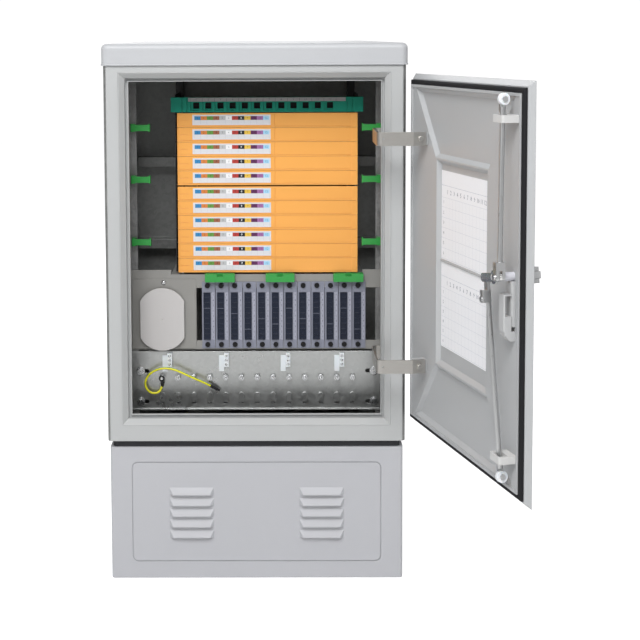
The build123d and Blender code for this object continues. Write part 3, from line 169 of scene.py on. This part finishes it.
def coated(name, colour, roughness=0.45, unevenness=0.04, edge=0.0012):
    """A powder-coated material in that colour."""
    material, tree, shader = finish_of(name)
    coat = add(tree, "Group", node_tree=powder_coat)
    coat.inputs["Colour"].default_value = (*colour, 1)
    coat.inputs["Roughness"].default_value = roughness
    coat.inputs["Unevenness"].default_value = unevenness
    join(tree, (coat.outputs["Colour"], shader.inputs["Base Color"]),
         (coat.outputs["Roughness"], shader.inputs["Roughness"]))
    soften(tree, shader, coat.outputs["Height"], 0.00012, edge)
    return material


give(coated("plinth_coat", (0.445, 0.45, 0.475)), "plinth_frame", "plinth_front_panel")


# Seal between plinth and body: a ring cut from dark rubber strip, squeezed by the body's weight.
# Its skin is matt, with the fine pits of extruded rubber.
def mould_group():
    """Moulded plastic as a group: a fine noise for the mould's skin and a slow cloud for the flow marks in the tone."""
    group = bpy.data.node_groups.new("mould_skin", "ShaderNodeTree")
    group.interface.new_socket("Colour", in_out="INPUT", socket_type="NodeSocketColor")
    for name, value in (("Skin per metre", 900.0), ("Flow", 0.08), ("Roughness", 0.4)):
        group.interface.new_socket(name, in_out="INPUT", socket_type="NodeSocketFloat").default_value = value
    group.interface.new_socket("Colour", in_out="OUTPUT", socket_type="NodeSocketColor")
    group.interface.new_socket("Roughness", in_out="OUTPUT", socket_type="NodeSocketFloat")
    group.interface.new_socket("Height", in_out="OUTPUT", socket_type="NodeSocketFloat")
    took, gave = group.nodes.new("NodeGroupInput"), group.nodes.new("NodeGroupOutput")
    place = add(group, "TexCoord")
    skin = add(group, "TexNoise", {"Vector": place.outputs["Object"], "Scale": took.outputs["Skin per metre"],
                                   "Detail": 2.0})
    stretch = add(group, "VectorMath", {0: place.outputs["Object"], 1: (4.0, 14.0, 22.0)}, operation="MULTIPLY")
    flow = add(group, "TexNoise", {"Vector": stretch.outputs["Vector"], "Scale": 1.0, "Detail": 3.0})
    swing = add(group, "Math", {0: flow.outputs["Fac"], 1: 0.5}, operation="SUBTRACT")
    part = add(group, "Math", {0: swing.outputs[0], 1: took.outputs["Flow"]}, operation="MULTIPLY")
    tone = add(group, "Math", {0: part.outputs[0], 1: 1.0}, operation="ADD")
    shade = add(group, "VectorMath", {0: took.outputs["Colour"], "Scale": tone.outputs[0]}, operation="SCALE")
    gloss = add(group, "Math", {0: part.outputs[0], 1: took.outputs["Roughness"]}, operation="ADD")
    join(group, (shade.outputs["Vector"], gave.inputs["Colour"]), (gloss.outputs[0], gave.inputs["Roughness"]),
         (skin.outputs["Fac"], gave.inputs["Height"]))
    return group


mould_skin = mould_group()


def moulded(name, colour, roughness=0.4, flow=0.08, depth=0.00005, edge=0.0006, **sockets):
    """A moulded plastic or rubber material."""
    material, tree, shader = finish_of(name, **sockets)
    skin = add(tree, "Group", node_tree=mould_skin)
    skin.inputs["Colour"].default_value = (*colour, 1)
    skin.inputs["Roughness"].default_value = roughness
    skin.inputs["Flow"].default_value = flow
    join(tree, (skin.outputs["Colour"], shader.inputs["Base Color"]),
         (skin.outputs["Roughness"], shader.inputs["Roughness"]))
    soften(tree, shader, skin.outputs["Height"], depth, edge)
    return material


give(moulded("seal_rubber", (0.04, 0.041, 0.045), 0.75, depth=0.0002, Specular_IOR_Level=0.3), "plinth_seal")


# Body shell: zinc-coated sheet folded to four walls and a roof. Outside it has the cabinet's coat, and
# inside the zinc shows, frozen in flat crystals that each have their own brightness. The zinc's dark grey
# is partly its own colour and partly painted shade for the cabinet's dim interior.
def spangle_group():
    """Zinc crystals as a group: Voronoi cells give each crystal a random tone, and a noise dulls it in patches."""
    group = bpy.data.node_groups.new("zinc_spangle", "ShaderNodeTree")
    group.interface.new_socket("Colour", in_out="INPUT", socket_type="NodeSocketColor")
    for name, value in (("Crystals per metre", 160.0), ("Contrast", 0.2), ("Roughness", 0.42)):
        group.interface.new_socket(name, in_out="INPUT", socket_type="NodeSocketFloat").default_value = value
    group.interface.new_socket("Colour", in_out="OUTPUT", socket_type="NodeSocketColor")
    group.interface.new_socket("Roughness", in_out="OUTPUT", socket_type="NodeSocketFloat")
    group.interface.new_socket("Height", in_out="OUTPUT", socket_type="NodeSocketFloat")
    took, gave = group.nodes.new("NodeGroupInput"), group.nodes.new("NodeGroupOutput")
    place = add(group, "TexCoord")
    bend = add(group, "TexNoise", {"Vector": place.outputs["Object"], "Scale": 60.0, "Detail": 1.0})
    pull = add(group, "VectorMath", {0: bend.outputs["Color"], "Scale": 0.012}, operation="SCALE")
    moved = add(group, "VectorMath", {0: place.outputs["Object"], 1: pull.outputs["Vector"]}, operation="ADD")
    cells = add(group, "TexVoronoi", {"Vector": moved.outputs["Vector"], "Scale": took.outputs["Crystals per metre"]})
    split = add(group, "SeparateColor", {0: cells.outputs["Color"]})
    swing = add(group, "Math", {0: split.outputs[0], 1: 0.5}, operation="SUBTRACT")
    part = add(group, "Math", {0: swing.outputs[0], 1: took.outputs["Contrast"]}, operation="MULTIPLY")
    patch = add(group, "TexNoise", {"Vector": place.outputs["Object"], "Scale": 7.0, "Detail": 4.0})
    dull = add(group, "MapRange", {"Value": patch.outputs["Fac"], 1: 0.3, 2: 0.7, 3: -0.06, 4: 0.06})
    both = add(group, "Math", {0: part.outputs[0], 1: dull.outputs[0]}, operation="ADD")
    tone = add(group, "Math", {0: both.outputs[0], 1: 1.0}, operation="ADD")
    shade = add(group, "VectorMath", {0: took.outputs["Colour"], "Scale": tone.outputs[0]}, operation="SCALE")
    gloss = add(group, "Math", {0: both.outputs[0], 1: took.outputs["Roughness"]}, operation="ADD")
    join(group, (shade.outputs["Vector"], gave.inputs["Colour"]), (gloss.outputs[0], gave.inputs["Roughness"]),
         (split.outputs[0], gave.inputs["Height"]))
    return group


zinc_spangle = spangle_group()


def shell_finish():
    """Powder coat outside and zinc inside, darkened partly as painted shade: a box in object coordinates just inside
    the sheet divides them.
    """
    material, tree, shader = finish_of("shell_finish")
    coat = add(tree, "Group", node_tree=powder_coat)
    coat.inputs["Colour"].default_value = (0.44, 0.45, 0.452, 1)
    sheet = add(tree, "Group", node_tree=zinc_spangle)
    # This dark grey is partly the zinc's colour and partly painted shade for the shaded inside of the cabinet.
    sheet.inputs["Colour"].default_value = (0.26, 0.265, 0.26, 1)
    sheet.inputs["Roughness"].default_value = 0.5
    place = add(tree, "TexCoord")
    centre = add(tree, "VectorMath", {0: place.outputs["Object"], 1: (0, 0, 0.6305)}, operation="SUBTRACT")
    size = add(tree, "VectorMath", {0: centre.outputs["Vector"]}, operation="ABSOLUTE")
    axes = add(tree, "SeparateXYZ", {0: size.outputs["Vector"]})
    inside = [add(tree, "Math", {0: axes.outputs[k], 1: limit}, operation="LESS_THAN")
              for k, limit in enumerate((0.2843, 0.1533, 0.3586))]
    pair = add(tree, "Math", {0: inside[0].outputs[0], 1: inside[1].outputs[0]}, operation="MULTIPLY")
    mask = add(tree, "Math", {0: pair.outputs[0], 1: inside[2].outputs[0]}, operation="MULTIPLY")
    colour = add(tree, "Mix", {0: mask.outputs[0], 6: coat.outputs["Colour"], 7: sheet.outputs["Colour"]},
                 data_type="RGBA")
    gloss = add(tree, "Mix", {0: mask.outputs[0], 2: coat.outputs["Roughness"], 3: sheet.outputs["Roughness"]})
    metal = add(tree, "Math", {0: mask.outputs[0], 1: 0.6}, operation="MULTIPLY")
    join(tree, (colour.outputs[2], shader.inputs["Base Color"]), (gloss.outputs[0], shader.inputs["Roughness"]),
         (metal.outputs[0], shader.inputs["Metallic"]))
    soften(tree, shader, coat.outputs["Height"], 0.00012, 0.0012)
    return material


give(shell_finish(), "body_shell")

# Door frame: a bevelled ring of folded sheet, welded into the shell's front, with a rain gutter and
# the raised rim that the gasket closes on. It has the same coat as the shell.
give(coated("body_coat", (0.44, 0.45, 0.452)), "door_frame")

# Roof cap: a drawn lid with a rounded edge and a slight crown, screwed on from below through its
# turned-in strips. Its coat is a shade lighter than the body's.
give(coated("cap_coat", (0.46, 0.47, 0.488)), "roof_cap")

# Cable entries: four blind grommets of black rubber, buttoned into holes in the floor plate.
give(moulded("grommet_rubber", (0.018, 0.018, 0.02), 0.8, depth=0.0003), "cable_grommets")


# Rails and floor: bright galvanised sheet, bent and spot-welded to the shell.
def zinc_sheet(name, colour, roughness=0.42, metallic=0.85, contrast=0.2):
    """A galvanised sheet material."""
    material, tree, shader = finish_of(name, Metallic=metallic)
    sheet = add(tree, "Group", node_tree=zinc_spangle)
    sheet.inputs["Colour"].default_value = (*colour, 1)
    sheet.inputs["Roughness"].default_value = roughness
    sheet.inputs["Contrast"].default_value = contrast
    join(tree, (sheet.outputs["Colour"], shader.inputs["Base Color"]),
         (sheet.outputs["Roughness"], shader.inputs["Roughness"]))
    soften(tree, shader, sheet.outputs["Height"], 0.00002, 0.0006)
    return material


give(zinc_sheet("rail_zinc", (0.28, 0.28, 0.28), 0.45, 0.7), "side_rails", "floor_plate")

# Mid plate with its blank panel: grey-coated sheet that carries the cassettes, folded back behind the
# trays into a shelf, and a panel screwed on at its left.
give(coated("mid_plate_coat", (0.26, 0.255, 0.242), 0.42, 0.06, 0.0008), "mid_plate", "blank_panel")

# Disc cover: a pale moulding cut straight at both sides, pressed on a hub over the spare opening.
give(moulded("cover_plastic", (0.52, 0.505, 0.50), 0.42, 0.03), "disc_cover")

# Splitter cassettes: grey moulded housings side by side, each held by two black push rivets and with
# a dark strip of nine ports.
give(moulded("cassette_plastic", (0.22, 0.23, 0.285), 0.36, Specular_IOR_Level=0.3), "splitter_cassettes")
give(moulded("port_plastic", (0.010, 0.015, 0.032), 0.3, Specular_IOR_Level=0.25), "splitter_port_strips")
give(moulded("rivet_nylon", (0.006, 0.006, 0.007), 0.35, Specular_IOR_Level=0.25), "push_rivets")


# Cassette labels: a narrow printed film beside each port strip with a tick and a number for every port,
# and one light bar across the strip where a group of ports ends.
def closed_sheet(front, back):
    """Quads of a closed sheet between two grids of points: the front's cells, the back's turned round, and a rim.

    A grid's point (row, column) has the index row * columns + column, and the back's points follow the front's.
    """
    rows, columns = front.shape[:2]
    index = np.arange(rows * columns).reshape(rows, columns)
    cells = np.stack((index[:-1, :-1], index[:-1, 1:], index[1:, 1:], index[1:, :-1]), -1).reshape(-1, 4)
    ring = np.concatenate((index[0, :-1], index[:-1, -1], index[-1, :0:-1], index[:0:-1, 0]))
    onward = np.roll(ring, -1)
    rim = np.stack((ring, ring + index.size, onward + index.size, onward), -1)
    return np.concatenate((cells, cells[:, ::-1] + index.size, rim))


def numeral(text):
    """A number of unit height as a thin closed solid round the origin. Returns its welded points and its triangles."""
    letters = bpy.data.curves.new("numeral", "FONT")
    letters.body, letters.align_x, letters.align_y = text, "CENTER", "CENTER"
    letters.size, letters.extrude, letters.resolution_u = 1.4, 1.0, 1
    writer = bpy.data.objects.new("numeral", letters)
    solid = bpy.data.meshes.new_from_object(writer)
    solid.calc_loop_triangles()
    points = np.empty(3 * len(solid.vertices))
    solid.vertices.foreach_get("co", points)
    corners = np.empty(3 * len(solid.loop_triangles), int)
    solid.loop_triangles.foreach_get("vertices", corners)
    points, weld = np.unique(points.reshape(-1, 3).round(4), axis=0, return_inverse=True)
    bpy.data.objects.remove(writer)
    bpy.data.curves.remove(letters)
    bpy.data.meshes.remove(solid)
    return points, weld.ravel()[corners].reshape(-1, 3)


figures = {str(number): numeral(str(number)) for number in range(1, 13)}


def ink_finish(name, roughness=0.5):
    """Printed film or paper: the mesh's own attribute gives the ink, and a fine noise the paper's fibre."""
    material, tree, shader = finish_of(name, Roughness=roughness)
    ink = add(tree, "Attribute", attribute_name="ink")
    place = add(tree, "TexCoord")
    fibre = add(tree, "TexNoise", {"Vector": place.outputs["Object"], "Scale": 900.0, "Detail": 2.0})
    tone = add(tree, "MapRange", {"Value": fibre.outputs["Fac"], 1: 0.3, 2: 0.7, 3: 0.96, 4: 1.02})
    shade = add(tree, "VectorMath", {0: ink.outputs["Color"], "Scale": tone.outputs[0]}, operation="SCALE")
    bump = add(tree, "Bump", {"Height": fibre.outputs["Fac"], "Distance": 0.00003})
    join(tree, (shade.outputs["Vector"], shader.inputs["Base Color"]), (bump.outputs["Normal"], shader.inputs["Normal"]))
    return material


def printed(name, body, finish, place, sheets, marks, thick, film=0.03):
    """Makes a printed piece from flat sheets and raised figures, all in millimetres.

    place(u, v, w) gives the points of a spot u along and v up the sheet, w in front of what carries it. A sheet is
    its lines along and up and the ink of each cell between them. A mark is a figure, its u, v, height and ink.
    """
    points, quads, corners, inks, count = [], [], [], [], 0
    for along, up, cells in sheets:
        u, v = np.meshgrid(along, up)
        front, back = (np.stack(place(u, v, np.full(u.shape, w)), -1) for w in (thick, 0.0))
        faces = closed_sheet(front, back)
        cells = np.asarray(cells, float).reshape(-1, 3)
        plain = np.tile(cells[0], (len(faces) - len(cells), 1))
        points += [front.reshape(-1, 3), back.reshape(-1, 3)]
        quads.append(faces + count)
        inks.append(np.repeat(np.concatenate((cells, plain)), 4, 0))
        count += 2 * u.size
    for text, u, v, height, ink in marks:
        shape, triangles = figures[text]
        points.append(np.stack(place(u + height * shape[:, 0], v + height * shape[:, 1],
                                     thick + film * shape[:, 2]), -1))
        corners.append(triangles + count)
        inks.append(np.tile(ink, (triangles.size, 1)))
        count += len(shape)
    mesh = bpy.data.meshes.new(name)
    faces = np.concatenate(quads).tolist() + (np.concatenate(corners).tolist() if corners else [])
    mesh.from_pydata((np.concatenate(points) / 1000).tolist(), [], faces)
    colour = mesh.attributes.new("ink", "FLOAT_COLOR", "CORNER")
    rows = np.concatenate(inks)
    colour.data.foreach_set("color", np.column_stack((rows, np.ones(len(rows)))).ravel())
    mesh.materials.append(finish)
    piece = bpy.data.objects.new(name, mesh)
    bpy.context.scene.collection.objects.link(piece)
    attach(piece, body)
    return piece


def upright(depth):
    """The place of a sheet that faces the front at that depth, so that u is across and v is up."""
    return lambda u, v, w: (u, depth - w, v)


film_ink = ink_finish("label_film", 0.38)
film_grey, film_line, film_figure = (0.33, 0.34, 0.41), (0.11, 0.11, 0.15), (0.05, 0.05, 0.08)
port_bottom, port_step = 442.0, 95.0 / 9
film_sheets, film_marks, bar_sheets = [], [], []
for n in range(12):
    film_left = -109.0 + 27.17 * n + 18.4
    edge = film_left + np.array((0.0, 0.5, 2.0, 6.3))
    ticks = port_bottom + port_step * np.arange(10)[:, None] + np.array((-0.35, 0.35))
    tick_ink = np.full((19, 3, 3), film_grey)
    tick_ink[::2, 1] = film_line
    film_sheets.append((edge, ticks.ravel(), tick_ink))
    film_marks += [(str(port + 1), film_left + 4.0, port_bottom + (port + 0.5) * port_step, 3.6, film_figure)
                   for port in range(9)]
    bar_low = port_bottom + port_step * (6, 6, 5, 2, 4, 3, 6, 4, 5, 3, 6, 2)[n] - 0.45
    bar_sheets.append((film_left - np.array((15.0, 1.8)), (bar_low, bar_low + 0.9), [(0.13, 0.14, 0.19)]))
printed("cassette_labels", "cabinet", film_ink, upright(-40.0), film_sheets, film_marks, 0.12)
printed("cassette_bars", "cabinet", film_ink, upright(-42.5), bar_sheets, [], 0.1)

# Tray carrier: a dark-coated post with a side plate and a lug above and below each tray, and a plain
# post at the right. Both stand on the shelf and are screwed to the roof. A zinc-plated pin hangs in the lugs.
give(coated("carrier_coat", (0.025, 0.025, 0.027), 0.5, 0.05, 0.0006), "tray_hinge_bracket", "rack_post_right")

# Splice trays: eleven orange mouldings that swing out one by one on a common pin, each a shallow basin
# with a spool and a comb behind a tall front.
give(moulded("tray_plastic", (0.84, 0.385, 0.082), 0.36, 0.1, 0.00006), *[f"tray_{n + 1:02d}" for n in range(11)])

# Tray labels: a white paper strip glued to each front, with the twelve fibre colours in a row, their
# numbers on them, and a ruled field below for notes.
label_left, label_right, cell_left, cell_pitch = -125.0, 29.0, -121.2, 12.3
label_white, label_rule = (0.65, 0.655, 0.68), (0.50, 0.51, 0.55)
fibre_inks = np.array((
    (0.025, 0.21, 0.45), (0.62, 0.20, 0.04), (0.11, 0.27, 0.04), (0.30, 0.10, 0.045), (0.46, 0.47, 0.48),
    (0.80, 0.80, 0.81), (0.42, 0.035, 0.025), (0.006, 0.006, 0.008), (0.72, 0.47, 0.06), (0.10, 0.014, 0.085),
    (0.32, 0.13, 0.33), (0.33, 0.60, 0.80)))
figure_inks = fibre_inks * 0.35
figure_inks[[5, 7]] = (0.25, 0.25, 0.27), (0.75, 0.75, 0.75)
paper_ink = ink_finish("label_paper", 0.42)
bounds = cell_left + cell_pitch * np.arange(13)[:, None] + np.array((-0.2, 0.2))
label_along = np.concatenate(([label_left], bounds.ravel(), [label_right]))
for n in range(11):
    tray_base = 894.0 - 28.6 * n - (2.4 if n > 4 else 0.0) - 28.1
    label_up = tray_base + np.array((4.6, 6.2, 14.6, 22.2, 25.1))
    cell_ink = np.full((4, 27, 3), label_white)
    cell_ink[1, 1::2] = label_rule
    cell_ink[2, 2:26:2] = fibre_inks
    cell_ink[2, 3:25:2] = fibre_inks[:-1]
    numbers = [(str(k + 1), cell_left + cell_pitch * (k + 0.5), tray_base + 18.4, 4.4, figure_inks[k])
               for k in range(12)]
    printed(f"tray_{n + 1:02d}_label", f"tray_{n + 1:02d}_body", paper_ink, upright(-40.0),
            [(label_along, label_up, cell_ink)], numbers, 0.15)


# Parking block: a dark green moulding over the trays with twelve square sockets for spare connectors.
# Their mouths open into the dark, which is painted into them as near-black shade.
def parking_finish():
    """Green plastic with painted shade, near black, inside the sockets, by a box in object coordinates behind the
    recessed field.
    """
    material, tree, shader = finish_of("parking_plastic_socket_shade", Specular_IOR_Level=0.2)
    skin = add(tree, "Group", node_tree=mould_skin)
    skin.inputs["Colour"].default_value = (0.006, 0.215, 0.145, 1)
    place = add(tree, "TexCoord")
    centre = add(tree, "VectorMath", {0: place.outputs["Object"], 1: (0.01445, -0.0298, 0.909)}, operation="SUBTRACT")
    size = add(tree, "VectorMath", {0: centre.outputs["Vector"]}, operation="ABSOLUTE")
    axes = add(tree, "SeparateXYZ", {0: size.outputs["Vector"]})
    inside = [add(tree, "Math", {0: axes.outputs[k], 1: limit}, operation="LESS_THAN")
              for k, limit in enumerate((0.1376, 0.0098, 0.00605))]
    pair = add(tree, "Math", {0: inside[0].outputs[0], 1: inside[1].outputs[0]}, operation="MULTIPLY")
    mask = add(tree, "Math", {0: pair.outputs[0], 1: inside[2].outputs[0]}, operation="MULTIPLY")
    # The near black inside the sockets is painted shade, not the plastic's colour.
    colour = add(tree, "Mix", {0: mask.outputs[0], 6: skin.outputs["Colour"], 7: (0.004, 0.004, 0.005, 1)},
                 data_type="RGBA")
    join(tree, (colour.outputs[2], shader.inputs["Base Color"]), (skin.outputs["Roughness"], shader.inputs["Roughness"]))
    soften(tree, shader, skin.outputs["Height"], 0.00005, 0.0006)
    return material


give(parking_finish(), "parking_block")

# Parking strip: printed grey-brown paper in the groove along the block's top edge, with a rule between
# the sockets and the socket's number over each. It takes the place of the plain strip.
socket_first, socket_pitch = -117.0, 23.9
strip_grey, strip_rule = (0.27, 0.265, 0.265), (0.09, 0.09, 0.10)
rules = socket_first + socket_pitch * (np.arange(13)[:, None] - 0.5) + np.array((-0.4, 0.4))
strip_along = np.concatenate(([-132.7], rules.ravel(), [176.7]))
strip_ink = np.full((3, len(strip_along) - 1, 3), strip_grey)
strip_ink[1, 1::2] = strip_rule
strip_marks = [(str(k + 1), socket_first + socket_pitch * k, 920.7, 4.6, strip_rule) for k in range(12)]
parking_print = printed("parking_print", "cabinet", paper_ink, upright(-41.4),
                        [(strip_along, (917.0, 917.8, 923.7, 924.5), strip_ink)], strip_marks, 1.0)
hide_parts("parking_strip")

# Hooks and clips: bright green mouldings, snapped on the rails and the mid plate, that lead the fibre
# bundles down both sides.
give(moulded("clip_plastic", (0.03, 0.30, 0.055), 0.35, 0.12), "fibre_hooks", "fibre_clips")

# Earth plate: galvanised sheet folded at the top and bottom edges, with slots for its bolts and pressed
# lances for cable ties.
give(zinc_sheet("earth_plate_zinc", (0.47, 0.48, 0.475), 0.34, 0.9, 0.12), "earth_plate")


# Bolts, studs and screws: turned and headed steel with a bright zinc plate.
def plated(name, colour, roughness, streak=(300.0, 300.0, 300.0), edge=0.0004, swing=0.06):
    """Bare or plated metal: a noise stretched along the grain varies the gloss and the tone a little."""
    material, tree, shader = finish_of(name, Metallic=1.0)
    place = add(tree, "TexCoord")
    along = add(tree, "VectorMath", {0: place.outputs["Object"], 1: streak}, operation="MULTIPLY")
    grain = add(tree, "TexNoise", {"Vector": along.outputs["Vector"], "Scale": 1.0, "Detail": 3.0})
    gloss = add(tree, "MapRange", {"Value": grain.outputs["Fac"], 1: 0.3, 2: 0.7, 3: roughness - swing,
                                   4: roughness + swing})
    tone = add(tree, "MapRange", {"Value": grain.outputs["Fac"], 1: 0.3, 2: 0.7, 3: 1.0 - swing, 4: 1.0 + swing / 2})
    shade = add(tree, "VectorMath", {0: colour, "Scale": tone.outputs[0]}, operation="SCALE")
    join(tree, (shade.outputs["Vector"], shader.inputs["Base Color"]), (gloss.outputs[0], shader.inputs["Roughness"]))
    soften(tree, shader, grain.outputs["Fac"], 0.00001, edge)
    return material


give(plated("zinc_plate", (0.66, 0.67, 0.68), 0.28), "dome_screws", "earth_plate_bolts", "earth_studs",
     "tray_hinge_pin")

# Cable clamps: white nylon, with a tongue at the left and a screw block at the right.
give(moulded("clamp_nylon", (0.74, 0.76, 0.78), 0.38, 0.04, Subsurface_Weight=0.08), "cable_clamps")

# Earth wire: a 4.5 mm stranded wire in yellow insulation with a green stripe, which runs from the
# first stud in a loop round the left bolt and ends in a free lug under black shrink sleeve.
wire_turns = np.array((
    (-190.0, 8.0, 349.5), (-192.5, 8.5, 340.5), (-201.0, 9.5, 335.0), (-211.5, 11.0, 336.5), (-219.5, 12.5, 343.5),
    (-223.0, 14.0, 353.5), (-221.5, 15.5, 364.5), (-215.5, 17.0, 374.5), (-205.5, 18.5, 382.5), (-193.5, 19.5, 387.5),
    (-179.5, 20.0, 388.8), (-165.5, 20.0, 386.5), (-151.0, 20.0, 380.8), (-135.5, 20.0, 373.0), (-119.5, 19.5, 365.8),
    (-105.0, 17.5, 358.8), (-93.0, 14.0, 351.6)))
wire_route = np.column_stack((wire_turns[:, 0], -38.0 - wire_turns[:, 1], wire_turns[:, 2])) / 1000
wire_curve = bpy.data.curves.new("earth_wire_insulation", "CURVE")
wire_curve.dimensions = "3D"
wire_curve.bevel_depth, wire_curve.bevel_resolution, wire_curve.resolution_u = 0.00225, 4, 8
wire_curve.use_fill_caps = True
wire_line = wire_curve.splines.new("NURBS")
wire_line.points.add(len(wire_route) - 1)
wire_line.points.foreach_set("co", np.column_stack((wire_route, np.ones(len(wire_route)))).ravel())
wire_line.order_u, wire_line.use_endpoint_u = 3, True
wire_finish, wire_tree, wire_shader = finish_of("wire_insulation", Roughness=0.4)
wire_place = add(wire_tree, "TexCoord")
wire_round = add(wire_tree, "SeparateXYZ", {0: wire_place.outputs["UV"]})
wire_band = add(wire_tree, "ValToRGB", {"Fac": wire_round.outputs[1]})
wire_band.color_ramp.interpolation = "CONSTANT"
wire_band.color_ramp.elements[0].color = (0.80, 0.76, 0.03, 1)
wire_band.color_ramp.elements[1].position = 0.60
wire_band.color_ramp.elements[1].color = (0.06, 0.22, 0.03, 1)
wire_band.color_ramp.elements.new(0.72).color = (0.80, 0.76, 0.03, 1)
join(wire_tree, (wire_band.outputs["Color"], wire_shader.inputs["Base Color"]))
wire_curve.materials.append(wire_finish)
earth_wire = bpy.data.objects.new("earth_wire_insulation", wire_curve)
bpy.context.scene.collection.objects.link(earth_wire)
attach(earth_wire, "cabinet")
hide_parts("earth_wire")
give(moulded("shrink_sleeve", (0.014, 0.014, 0.016), 0.45), "earth_lugs")

# Door hinges: swan-neck arms of brushed stainless bar, bent round the stile, on pins between lugs that
# are welded to the side wall. Each arm is bolted to a coated bracket on the door.
give(coated("lug_coat", (0.44, 0.45, 0.452)), "hinge_lugs", "hinge_brackets")
give(plated("brushed_steel", (0.48, 0.465, 0.44), 0.44, (90.0, 90.0, 1600.0)), "hinge_arms", "hinge_pins",
     "hinge_bolts")

# Door: an outer skin folded round a pressed inner pan, both in the cabinet's coat, with a black
# D-section gasket glued in the fold.
give(coated("door_coat", (0.425, 0.435, 0.445), 0.4, 0.03), "door_skin", "door_inner_pan")
give(moulded("gasket_rubber", (0.012, 0.012, 0.014), 0.8, depth=0.0002, Specular_IOR_Level=0.25), "door_gasket")

# Record cards: two white cards slid into the pan's middle pocket, ruled as tables of twelve columns
# and six rows, with numbers along both. They take the place of the plain cards.
door_swing, pin_at = math.radians(105.26), (271.0, -124.0)
card_width, card_white = 201.0, (0.86, 0.87, 0.90)
card_rule, card_faint, card_figure = (0.38, 0.42, 0.50), (0.58, 0.61, 0.68), (0.12, 0.14, 0.20)
card_ink = ink_finish("card_paper", 0.5)


def on_door(u, v, w):
    """A spot on the card pocket's floor: u from the card's hinge side, v up, w out of the pocket.

    The closed door's point turns about the hinge pin: across and depth from the pin, times the cosine and sine.
    """
    side, depth = card_width / 2 - u - pin_at[0], -146.0 + w - pin_at[1]
    return (pin_at[0] + side * math.cos(door_swing) - depth * math.sin(door_swing),
            pin_at[1] + side * math.sin(door_swing) + depth * math.cos(door_swing), v)


card_sheets, card_marks = [], []
for card_low, card_high in ((645.0, 804.5), (487.0, 640.5)):
    card_tall = card_high - card_low
    lines = card_high - card_tall * np.array((0.985, 0.87, 0.755, 0.64, 0.525, 0.41, 0.30, 0.165))
    row_edges = np.concatenate(([card_low], (lines[:, None] + np.array((-0.25, 0.25))).ravel(), [card_high]))
    columns = card_width * (0.10 + 0.073 * np.arange(13))
    column_edges = np.concatenate(([0.0], (columns[:, None] + np.array((-0.2, 0.2))).ravel(), [card_width]))
    rule_ink = np.full((len(row_edges) - 1, len(column_edges) - 1, 3), card_white)
    rule_ink[2:13, 1::2] = card_faint
    rule_ink[1::2, :] = card_faint
    rule_ink[15, :] = card_rule
    card_sheets.append((column_edges, row_edges, rule_ink))
    card_marks += [(str(k + 1), columns[k] + 0.0365 * card_width, card_high - 0.235 * card_tall, 8.0, card_figure)
                   for k in range(12)]
    card_marks += [(str(k + 1), 0.05 * card_width, card_high - card_tall * (0.355 + 0.115 * k), 6.0, card_figure)
                   for k in range(6)]
card_print = printed("card_print", "door", card_ink, on_door, card_sheets, card_marks, 0.6, 0.04)
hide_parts("record_cards")


# Lock housing: a die-cast case through the door, coated grey, with a clamp across its back and a lilac
# plastic bush where the shaft comes through. The swing lever and the shaft's head carry the same coat.
def housing_finish():
    """Grey coat with a plastic bush: level through the door and height give the mask in object coordinates."""
    material, tree, shader = finish_of("housing_coat")
    coat = add(tree, "Group", node_tree=powder_coat)
    coat.inputs["Colour"].default_value = (0.46, 0.465, 0.47, 1)
    coat.inputs["Roughness"].default_value = 0.35
    place = add(tree, "TexCoord")
    through = add(tree, "VectorMath", {0: place.outputs["Object"], 1: (-0.96474, -0.2632, 0.0)},
                  operation="DOT_PRODUCT")
    reach = add(tree, "Math", {0: through.outputs["Value"], 1: 0.001 - 0.258808}, operation="GREATER_THAN")
    axes = add(tree, "SeparateXYZ", {0: place.outputs["Object"]})
    height = add(tree, "Math", {0: axes.outputs[2], 1: 0.6602}, operation="GREATER_THAN")
    mask = add(tree, "Math", {0: reach.outputs[0], 1: height.outputs[0]}, operation="MULTIPLY")
    colour = add(tree, "Mix", {0: mask.outputs[0], 6: coat.outputs["Colour"], 7: (0.62, 0.62, 0.67, 1)},
                 data_type="RGBA")
    join(tree, (colour.outputs[2], shader.inputs["Base Color"]), (coat.outputs["Roughness"], shader.inputs["Roughness"]))
    soften(tree, shader, coat.outputs["Height"], 0.00008, 0.0008)
    return material


give(housing_finish(), "handle_housing")
give(coated("lever_coat", (0.46, 0.465, 0.47), 0.35, 0.03, 0.0008), "handle_clamp", "swing_lever", "handle_shaft")

# Cam and rods: a polished zinc casting that turns with the shaft, and two plated round bars that it
# pushes up and down behind their guides.
give(plated("polished_casting", (0.84, 0.84, 0.83), 0.14), "lock_cam")
give(plated("rod_plate", (0.60, 0.605, 0.61), 0.3, (500.0, 500.0, 8.0), 0.0004, 0.03), "upper_rod", "lower_rod")

# Guides and rollers: off-white nylon. The guides are screwed to the pan, and a roller turns on each rod's
# end and pulls the door on to its gasket.
give(moulded("guide_nylon", (0.58, 0.58, 0.575), 0.42, 0.04), "rod_guides")
give(moulded("roller_nylon", (0.74, 0.76, 0.78), 0.38, 0.04, Subsurface_Weight=0.08), "upper_roller", "lower_roller")
